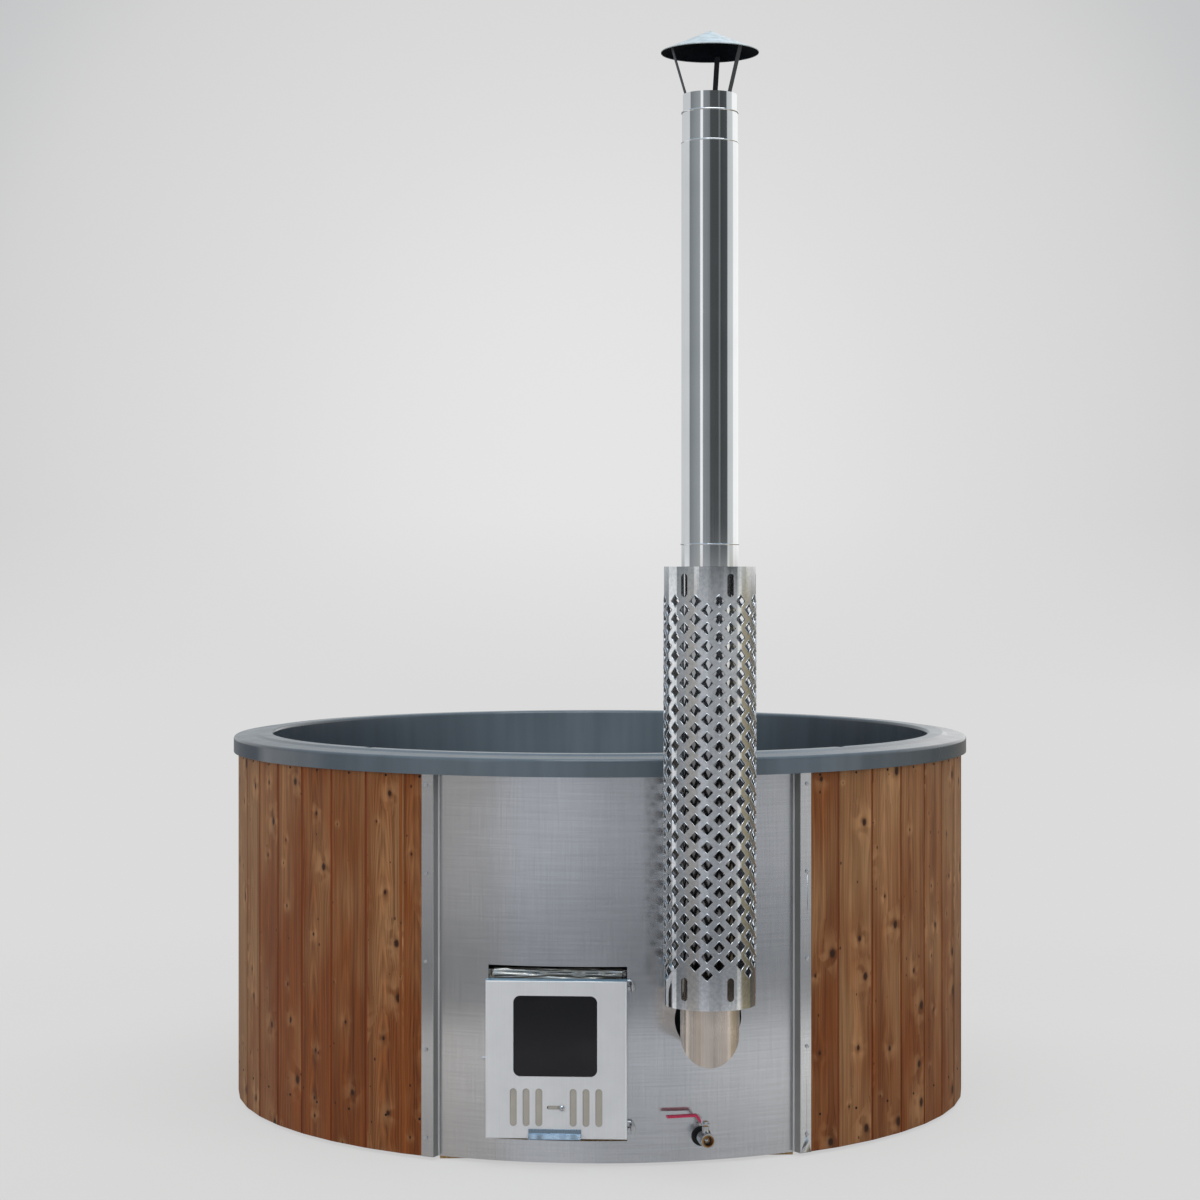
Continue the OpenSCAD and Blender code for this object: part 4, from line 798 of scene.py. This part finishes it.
class HOTTUB_OT_door(bpy.types.Operator):
    """Finish the stove door with its window, handle, hinge, catch and air slide"""

    bl_idname = "hottub.door"
    bl_label = "Door"

    def execute(self, context):
        steel = context.scene.hot_tub_steel
        # 2 mm door sheet, pale and faintly cloudy from grinding
        sheet = sheet_steel(
            "ground_door_steel", steel.door, 0.34, anisotropic=0.5, mottle=14.0, bump=0.0, bare=0.4
        )
        zinc = sheet_steel("bright_rod", "#D6D8DA", 0.2, brush=(300.0, 300.0, 300.0))
        # the slide is plain black steel dusted with ash, so it looks beige-grey
        slide = sheet_steel("ashy_slide_steel", "#ABA79E", 0.5, spread=0.08, mottle=24.0, bare=0.2)
        # the top flange is painted light blue, a painted reflection of the sky, and the folds are painted
        # near white, a painted highlight
        film = sheet_steel("flange_painted_sky_reflection", "#86ADC6", 0.34, bump=0.0, bare=0.3)
        rubbed = sheet_steel("fold_painted_highlight", "#F2F6FA", 0.3, bump=0.0, bare=0.3)
        folded = folded_sheet(steel.fold)
        door = make_piece("door_sheet", folded, sheet, "door", ["door_panel"])
        door.data.materials.append(film)
        door.data.materials.append(rubbed)
        # the lip is polished by hands, and its sky-blue colour is a painted reflection of the sky
        lip = flat_copy("door_handle")
        round_edges(lip, hard_edges(lip), 0.0008)
        smooth_folds(lip, 2e-4)
        polished = sheet_steel("lip_steel_painted_sky", "#93A5B4", 0.28, mottle=30.0, bump=0.0)
        make_piece("door_lip", lip, polished, "door", ["door_handle"])
        dress(stove_glass(), "door_glass")
        dress(zinc, "hinge_pintles", "hinge_eyes", "catch_stud", "catch_clip", "slide_knob", "glass_clips")
        dress(slide, "slide_plate", "slide_guides")
        # self-adhesive glass-fibre tape round the pane
        dress(speckled("glass_tape", "#B9B6AE", "#DAD8D2", 0.9, 700.0, 0.5), "glass_gasket")
        # braided glass-fibre rope, off-white and grey
        dress(speckled("glass_rope", "#A9A69E", "#DEDBD3", 0.92, 420.0, 0.6, 0.001), "door_rope")
        return {"FINISHED"}


class HOTTUB_OT_wrap(bpy.types.Operator):
    """Make the creased foil of the neck's insulation"""

    bl_idname = "hottub.wrap"
    bl_label = "Foil wrap"

    def execute(self, context):
        steel = context.scene.hot_tub_steel
        # aluminium foil on mineral wool: bright, with sharp creases
        foil = sheet_steel("creased_foil", "#C6C3BC", 0.2, brush=(60.0, 60.0, 60.0), bump=0.4, bare=0.85)
        shape = merged_copy("neck_wrap")
        # the wool swells over the neck until it fills the panel's cut-out
        neck_top, swell = 0.424, 1.5
        for vert in shape.verts:
            if vert.co.z > neck_top:
                vert.co.z = neck_top + (vert.co.z - neck_top) * swell
        crease_foil(shape, steel.foil_crease)
        make_piece("foil_wrap", shape, foil, "tub", ["neck_wrap"])
        return {"FINISHED"}


def crease_foil(shape, depth):
    """Cuts the wrap's faces small and presses creases into them, inwards only."""
    for _ in range(2):
        long = [e for e in shape.edges if e.calc_length() > 0.012]
        bmesh.ops.subdivide_edges(shape, edges=long, cuts=2, use_grid_fill=False)
        bmesh.ops.triangulate(shape, faces=shape.faces)
    shape.normal_update()
    broad, fine = 95.0, 260.0  # of the creases, to the metre
    for vert in shape.verts:
        ridge = 1 - abs(noise.noise(vert.co * broad)) * 2 + 0.5 * noise.noise(vert.co * fine)
        vert.co -= vert.normal * depth * max(0.0, min(1.2, ridge))


class HOTTUB_OT_stove(bpy.types.Operator):
    """Finish the stove, its pipes and the board that it stands on"""

    bl_idname = "hottub.stove"
    bl_label = "Stove"

    def execute(self, context):
        # hot-rolled stove steel: blue-grey mill scale
        dress(
            speckled("mill_scale_steel", "#2B2F33", "#454A4F", 0.5, 45.0, 0.3, metallic=0.8),
            "firebox", "door_neck", "smoke_baffle",
        )
        # the jacket is stainless, dull from pickling after welding
        dress(
            sheet_steel("pickled_steel", "#A4A6A8", 0.45, brush=(40.0, 40.0, 40.0), spread=0.1),
            "stove_jacket", "pipe_flanges", "water_pipe_lower", "water_pipe_upper", "drain_pipe",
        )
        # grey cast iron, sandy from its mould
        dress(speckled("cast_iron", "#232323", "#3B3836", 0.75, 500.0, 0.5, metallic=0.5), "fire_grate")
        # pressed fibre cement: pale grey with faint fibres
        dress(speckled("fibre_cement", "#9C9A95", "#B6B4AE", 0.9, 120.0, stretch=(1, 3, 1)), "heat_board")
        return {"FINISHED"}


class HOTTUB_OT_timber(bpy.types.Operator):
    """Finish the hidden frame of studs, hoops and beams"""

    bl_idname = "hottub.timber"
    bl_label = "Timber frame"

    def execute(self, context):
        dress(sawn_softwood("sawn_studs", (240.0, 240.0, 4.0)), "wall_studs")
        dress(sawn_softwood("sawn_beams", (240.0, 4.0, 240.0)), "base_beams")
        dress(sawn_softwood("sawn_hoops", (30.0, 30.0, 240.0)), "lower_hoop", "upper_hoop")
        return {"FINISHED"}


def add_bead(pipe, centre, radius, height):
    """A half-round bead rolled into a pipe's end, spun round its axis."""
    ring = bmesh.new()
    proud, sunk = 0.0013, 0.0004
    bmesh.ops.create_circle(ring, segments=10, radius=0.5, matrix=Matrix.Rotation(math.pi / 2, 4, "X"))
    bmesh.ops.scale(ring, verts=ring.verts, vec=(2 * proud, 1, height))
    bmesh.ops.translate(ring, verts=ring.verts, vec=(radius - sunk, 0, height / 2))
    spin_round(ring, 96)
    bmesh.ops.translate(ring, verts=ring.verts, vec=centre)
    bmesh.ops.recalc_face_normals(ring, faces=ring.faces)
    join_shape(pipe, ring)


class HOTTUB_OT_flue(bpy.types.Operator):
    """Finish the elbow, the flue pipes, the collar and the rain hat"""

    bl_idname = "hottub.flue"
    bl_label = "Flue"

    def execute(self, context):
        steel = context.scene.hot_tub_steel
        # polished stainless flue pipe: nearly a mirror, with a faint lengthwise draw
        polished = sheet_steel(
            "polished_flue", steel.flue, 0.07, brush=(500.0, 500.0, 3.0), spread=0.04, bump=0.01
        )
        # each pipe with the heights of its beads over its foot
        for name, piece, beads in (
            ("flue_upper", "flue_upper_pipe", (0.0,)), ("flue_collar", "flue_top_pipe", (0.0, 0.069)),
        ):
            pipe = merged_copy(name)
            low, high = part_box(name)
            middle, radius = (low + high) / 2, (high.x - low.x) / 2
            for height in beads:
                add_bead(pipe, (middle.x, middle.y, low.z + height), radius, steel.bead)
            smooth_by_angle(pipe, 30)
            make_piece(piece, pipe, polished, "tub", [name])
        dress(heated_flue(steel.flue), "flue_lower")
        # the elbow is satin and straw-coloured from the heat
        elbow = sheet_steel(
            "heat_tinted_elbow", "#DFD3C8", 0.26, brush=(300.0, 300.0, 3.0), spread=0.2, bare=0.8
        )
        dress(elbow, "flue_elbow")
        # the hat is plain bright sheet, a little green-grey from the weather
        dress(sooted_hat(), "rain_hat")
        # the legs are plain strip, grey with soot
        dress(
            sheet_steel("sooted_strip", "#4A4E54", 0.45, brush=(60.0, 60.0, 60.0), spread=0.12, bare=0.6),
            "hat_legs",
        )
        return {"FINISHED"}


def drawn_lip(half, radius):
    """A lip at the front of the guard: the punch raises a rim and draws the edge inwards."""
    lip = bmesh.new()
    bmesh.ops.create_circle(lip, segments=4, radius=half)
    bmesh.ops.subdivide_edges(lip, edges=lip.edges, cuts=1)
    bmesh.ops.scale(lip, verts=lip.verts, vec=(1.17, 1.17, 1))
    ring = list(lip.edges)
    # growth of each next ring over the last, and how far it stands out
    rim = ((0.95, 0.0014), (0.955, -0.0004), (0.95, -0.0020))
    edge = ((0.99, -0.0014), (1.08, 0.0008), (1.05, 0.0008))
    for growth, out in rim + edge:
        drawn = bmesh.ops.extrude_edge_only(lip, edges=ring)["geom"]
        ring = [g for g in drawn if isinstance(g, bmesh.types.BMEdge)]
        verts = [g for g in drawn if isinstance(g, bmesh.types.BMVert)]
        bmesh.ops.scale(lip, verts=verts, vec=(growth, growth, 1))
        bmesh.ops.translate(lip, verts=verts, vec=(0, 0, out))
    bmesh.ops.recalc_face_normals(lip, faces=lip.faces)
    for vert in lip.verts:
        across, up, out = vert.co
        turn = across / radius
        reach = radius + out
        vert.co = (reach * math.sin(turn), -reach * math.cos(turn), up)
    bmesh.ops.recalc_face_normals(lip, faces=lip.faces)
    for face in lip.faces:
        face.smooth = True
    mesh = bpy.data.meshes.new("lip")
    lip.to_mesh(mesh)
    lip.free()
    return mesh


class HOTTUB_OT_guard(bpy.types.Operator):
    """Make the perforated heat guard, with a drawn lip round every diamond"""

    bl_idname = "hottub.guard"
    bl_label = "Heat guard"

    def execute(self, context):
        steel = context.scene.hot_tub_steel
        low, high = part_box("heat_guard")
        centre, radius = (low + high) / 2, (high.x - low.x) / 2
        shape = merged_copy("heat_guard")
        smooth_by_angle(shape, 30)
        lip = drawn_lip(steel.diamond / 2, radius)
        columns, rows, first_turn = 12, 42, -2.7 - STOVE_TURN  # degrees from the panel's middle
        # metres from the top to the first row, and what stays plain over the foot, at a slot or elsewhere
        first_row, at_slot, elsewhere = 0.078, 0.073, 0.02
        for row in range(rows):
            height = high.z - first_row - row * steel.row_pitch
            for column in range(columns):
                straight = row % 2 == 1
                plain = at_slot if straight and column % 2 == 1 else elsewhere
                if height - steel.diamond / 2 < low.z + plain:
                    continue
                turn = first_turn + 360 / columns * (column + (0 if straight else 0.5))
                place = Matrix.Translation((centre.x, centre.y, height)) @ wall_turn(turn)
                lip.transform(place)
                shape.from_mesh(lip)
                lip.transform(place.inverted())
        bpy.data.meshes.remove(lip)
        make_piece("punched_guard", shape, mirror_guard(), "tub", ["heat_guard"])
        return {"FINISHED"}


class HOTTUB_OT_valve(bpy.types.Operator):
    """Finish the ball valve, its lever and its grommet"""

    bl_idname = "hottub.valve"
    bl_label = "Drain valve"

    def execute(self, context):
        liner = context.scene.hot_tub_liner
        # nickel-plated brass, tumbled bright
        chrome = sheet_steel("nickel_plate", "#CFD1D3", 0.14, brush=(220.0, 220.0, 220.0), spread=0.06)
        dress(chrome, "valve_body", "valve_ball", "valve_lever", "lever_nut", "gland_nut")
        # bare turned brass shows at the stem
        brass = sheet_steel("turned_brass", "#C9A06B", 0.22, brush=(220.0, 220.0, 220.0), spread=0.1)
        dress(brass, "valve_stem", "drain_locknut")
        dress(cut_mouth(), "valve_end")
        dress(speckled("black_rubber", "#0C0C0D", "#161617", 0.6, 500.0), "drain_grommet")
        dress(speckled("white_ptfe", "#DADAD6", "#EDEDEA", 0.45, 300.0, 0.05), "valve_seats")
        # vinyl dipped hot over the lever: glossy and slightly wavy
        dress(
            speckled("dipped_vinyl", scaled(liner.sleeve, 0.92), liner.sleeve, 0.28, 60.0, 0.15),
            "lever_sleeve",
        )
        return {"FINISHED"}


# Studio


def make_floor(studio):
    """A round pale floor whose rim fades out, so that it meets the background softly."""
    shape = bmesh.new()
    rim, fading = 3.6, (2.0, 3.5)
    bmesh.ops.create_circle(shape, cap_ends=True, radius=rim, segments=96)
    finish, add, shader = new_finish("studio_floor")
    where = add("TexCoord").outputs["Object"]
    far = add("VectorMath length", where)
    grit = add("TexNoise", where, 3.0)
    tint = add("ValToRGB", grit, stops=((0.3, scaled(studio.floor, 0.985)), (0.7, studio.floor)))
    fade = add("MapRange", far, *fading, interpolation_type="SMOOTHSTEP")
    # bounced light fills most of the shadow: the camera sees part of the floor's own pale colour
    depth = add("SeparateXYZ", where)
    away = add("MapRange", depth.outputs[1], -2.2, 0.8)
    pale = add("ValToRGB", away, stops=((0.0, "#D3D3D3"), (1.0, "#DDDDDD")))
    bounced = add("Emission", pale, 1.0)
    clear = add("BsdfTransparent")
    path = add("LightPath")
    share = add("Math multiply", path.outputs["Is Camera Ray"], 0.78)
    filled = add("MixShader", share, shader, bounced)
    hidden = add("Math maximum", fade, path.outputs["Is Glossy Ray"])
    both = add("MixShader", hidden, filled, clear)
    plug(shader, {"Roughness": 0.9, "Specular IOR Level": 0.1, "Base Color": tint})
    plug(finish.node_tree.nodes["Material Output"], {"Surface": both})
    new_object("floor", shape, finish)


def make_world(scene, studio):
    """A pale background for the camera, a light and dark room for metal, even light for the rest."""
    world = bpy.data.worlds.new("studio")
    world.use_nodes = True
    scene.world = world
    tree = world.node_tree
    tree.nodes.clear()
    add = partial(add_node, tree)
    where = add("TexCoord").outputs["Generated"]
    way = add("SeparateXYZ", where)
    # the backdrop is lightest a little left of and above the tub's middle
    spot = add("VectorMath dot_product", where, (0.045, 0.998, 0.046))
    backdrop = add(
        "ValToRGB", spot,
        stops=((0.962, "#C6C7C8"), (0.973, "#D3D3D3"), (0.991, "#DCDCDC"), (1.0, "#E5E5E5")),
    )
    below = add("MapRange", way.outputs[2], 0.02, -0.05)
    horizon = add("Mix rgba", below, backdrop, "#DBDBDB")
    # the room round it, from behind the tub by the left, the front and the right
    turn = add("Math arctan2", way.outputs[0], add("Math multiply", way.outputs[1], -1.0))
    round_room = add("MapRange", turn, -math.pi, math.pi)
    walls = add(
        "ValToRGB", round_room,
        stops=room_stops(
            (-180, "#B4BABE"), (-170, "#B4BABE"), (-167, "#CBCED0"), (-98, "#CED1D3"), (-95, "#787E82"),
            (-70, "#8A9093"), (-46, "#989EA1"), (-44, "#F4F6F8"), (-35, "#F4F6F8"), (-33, "#868B8F"),
            (-7, "#787D81"), (-3, "#484C4D"), (30, "#454849"), (32, "#6E7375"), (37, "#6E7375"),
            (39, "#404445"), (69, "#4A4E50"), (73, "#C4C8C9"), (101, "#CCD0D1"), (105, "#FFFFFF"),
            (168, "#FFFFFF"), (171, "#B4BABE"),
        ),
    )
    # lower down the garden side shows, with warm and blue parts
    ground = add(
        "ValToRGB", round_room,
        stops=room_stops(
            (-180, "#8C9095"), (-134, "#6A6E74"), (-128, "#EDEEEF"), (-99, "#E4E5E6"), (-95, "#8E9194"),
            (-75, "#9A9C9F"), (-58, "#A19E9B"), (-35, "#A8A6A4"), (-30, "#B7BABF"), (-9, "#B3B6BB"),
            (-4, "#A2A5A9"), (22, "#9DA0A4"), (30, "#A9ABAE"), (66, "#AEAFB0"), (71, "#E6E6E2"),
            (79, "#DCDBD6"), (84, "#9F967F"), (112, "#8E866F"), (120, "#6F6B60"), (170, "#8A8A86"),
        ),
    )
    floor_light = add(
        "ValToRGB", add("MapRange", way.outputs[2], -0.25, 0.0),
        stops=(
            (0.06, (1.0, 0.98, 0.96, 1)), (0.15, (1.18, 1.16, 1.14, 1)), (0.24, (1.56, 1.54, 1.52, 1)),
            (0.28, (1.5, 1.48, 1.46, 1)), (0.325, (0.54, 0.55, 0.57, 1)), (0.37, (0.5, 0.51, 0.53, 1)),
            (0.47, (0.8, 0.81, 0.83, 1)), (0.56, (1.0, 1.0, 1.02, 1)), (0.72, (1.0, 1.0, 1.0, 1)),
            (1.0, (1.22, 1.22, 1.22, 1)),
        ),
    )
    lit_ground = add("Mix rgba", 1.0, ground, floor_light, blend_type="MULTIPLY")
    level = add("MapRange", way.outputs[2], -0.015, 0.008)
    room = add("Mix rgba", level, lit_ground, walls)
    sky = add("MapRange", way.outputs[2], 0.35, 0.8, interpolation_type="SMOOTHSTEP")
    roofed = add("Mix rgba", sky, room, "#B9D2EA")
    path = add("LightPath")
    seen = add("Background", horizon, 1.0)
    mirrored = add("Background", roofed, 1.0)
    even = add("Background", "#FFFFFF", studio.ambient)
    shiny = add("Math maximum", path.outputs["Is Glossy Ray"], path.outputs["Is Transmission Ray"])
    unseen = add("MixShader", shiny, even, mirrored)
    all_rays = add("MixShader", path.outputs["Is Camera Ray"], unseen, seen)
    add("OutputWorld", all_rays)


def make_lamp(name, place, size, power):
    """A soft box that faces the middle of the tub."""
    light = bpy.data.lights.new(name, "AREA")
    light.shape = "RECTANGLE"
    light.size, light.size_y = size
    light.energy = power
    lamp = bpy.data.objects.new(name, light)
    lamp.location = place
    aim = Vector((0, 0, 0.8)) - lamp.location
    lamp.rotation_euler = aim.to_track_quat("-Z", "Y").to_euler()
    # a lamp at the side would glare on the flat sheets, and the one above only lines the rims
    lamp.visible_glossy = name == "overhead_box"
    bpy.context.scene.collection.objects.link(lamp)


def make_camera(scene):
    """The photograph's camera: level, 1.4 m up, 6.9 m away and 2.75 degrees to the left."""
    data = bpy.data.cameras.new("camera")
    data.sensor_width = 36.0
    data.lens = 76.11
    data.shift_y = -0.0275
    data.clip_end = 60.0
    camera = bpy.data.objects.new("camera", data)
    camera.location = (-0.3304, -6.8791, 1.404)
    camera.rotation_euler = (math.radians(90), 0, math.radians(-2.75))
    scene.collection.objects.link(camera)
    scene.camera = camera
    scene.view_settings.view_transform = "Standard"


class HOTTUB_OT_studio(bpy.types.Operator):
    """Make the floor, the lamps, the world and the camera"""

    bl_idname = "hottub.studio"
    bl_label = "Studio"

    def execute(self, context):
        studio = context.scene.hot_tub_studio
        make_floor(studio)
        make_world(context.scene, studio)
        make_lamp("key_strip", (-3.9, -4.2, 2.0), (1.6, 3.2), studio.key)
        make_lamp("overhead_box", (0.6, -1.8, 5.2), (3.4, 3.4), studio.overhead)
        make_lamp("right_box", (4.4, -3.6, 2.4), (1.6, 2.8), studio.key * 0.75)
        make_camera(context.scene)
        return {"FINISHED"}


# Panel and run

OPERATORS = (
    HOTTUB_OT_boards, HOTTUB_OT_nails, HOTTUB_OT_liner, HOTTUB_OT_panel, HOTTUB_OT_door, HOTTUB_OT_wrap,
    HOTTUB_OT_stove, HOTTUB_OT_timber, HOTTUB_OT_flue, HOTTUB_OT_guard, HOTTUB_OT_valve,
    HOTTUB_OT_studio,
)

GROUPS = {
    "hot_tub_wood": HotTubWood,
    "hot_tub_steel": HotTubSteel,
    "hot_tub_liner": HotTubLiner,
    "hot_tub_studio": HotTubStudio,
}


class HOTTUB_PT_looks(bpy.types.Panel):
    """Lists the steps that make the hot tub's looks"""

    bl_idname = "HOTTUB_PT_looks"
    bl_label = "Hot Tub"
    bl_space_type = "VIEW_3D"
    bl_region_type = "UI"
    bl_category = "Hot Tub"

    def draw(self, context):
        for step in OPERATORS:
            self.layout.operator(step.bl_idname)
        for group, kind in GROUPS.items():
            box = self.layout.box()
            for field in kind.__annotations__:
                box.prop(getattr(context.scene, group), field)


def register():
    for group, kind in GROUPS.items():
        bpy.utils.register_class(kind)
        setattr(bpy.types.Scene, group, bpy.props.PointerProperty(type=kind))
    for kind in (*OPERATORS, HOTTUB_PT_looks):
        bpy.utils.register_class(kind)


def unregister():
    for kind in (HOTTUB_PT_looks, *reversed(OPERATORS)):
        bpy.utils.unregister_class(kind)
    for group, kind in GROUPS.items():
        delattr(bpy.types.Scene, group)
        bpy.utils.unregister_class(kind)


def main():
    """Registers the add-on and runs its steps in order."""
    register()
    for step in OPERATORS:
        area, name = step.bl_idname.split(".")
        getattr(getattr(bpy.ops, area), name)()


if __name__ == "__main__":
    main()
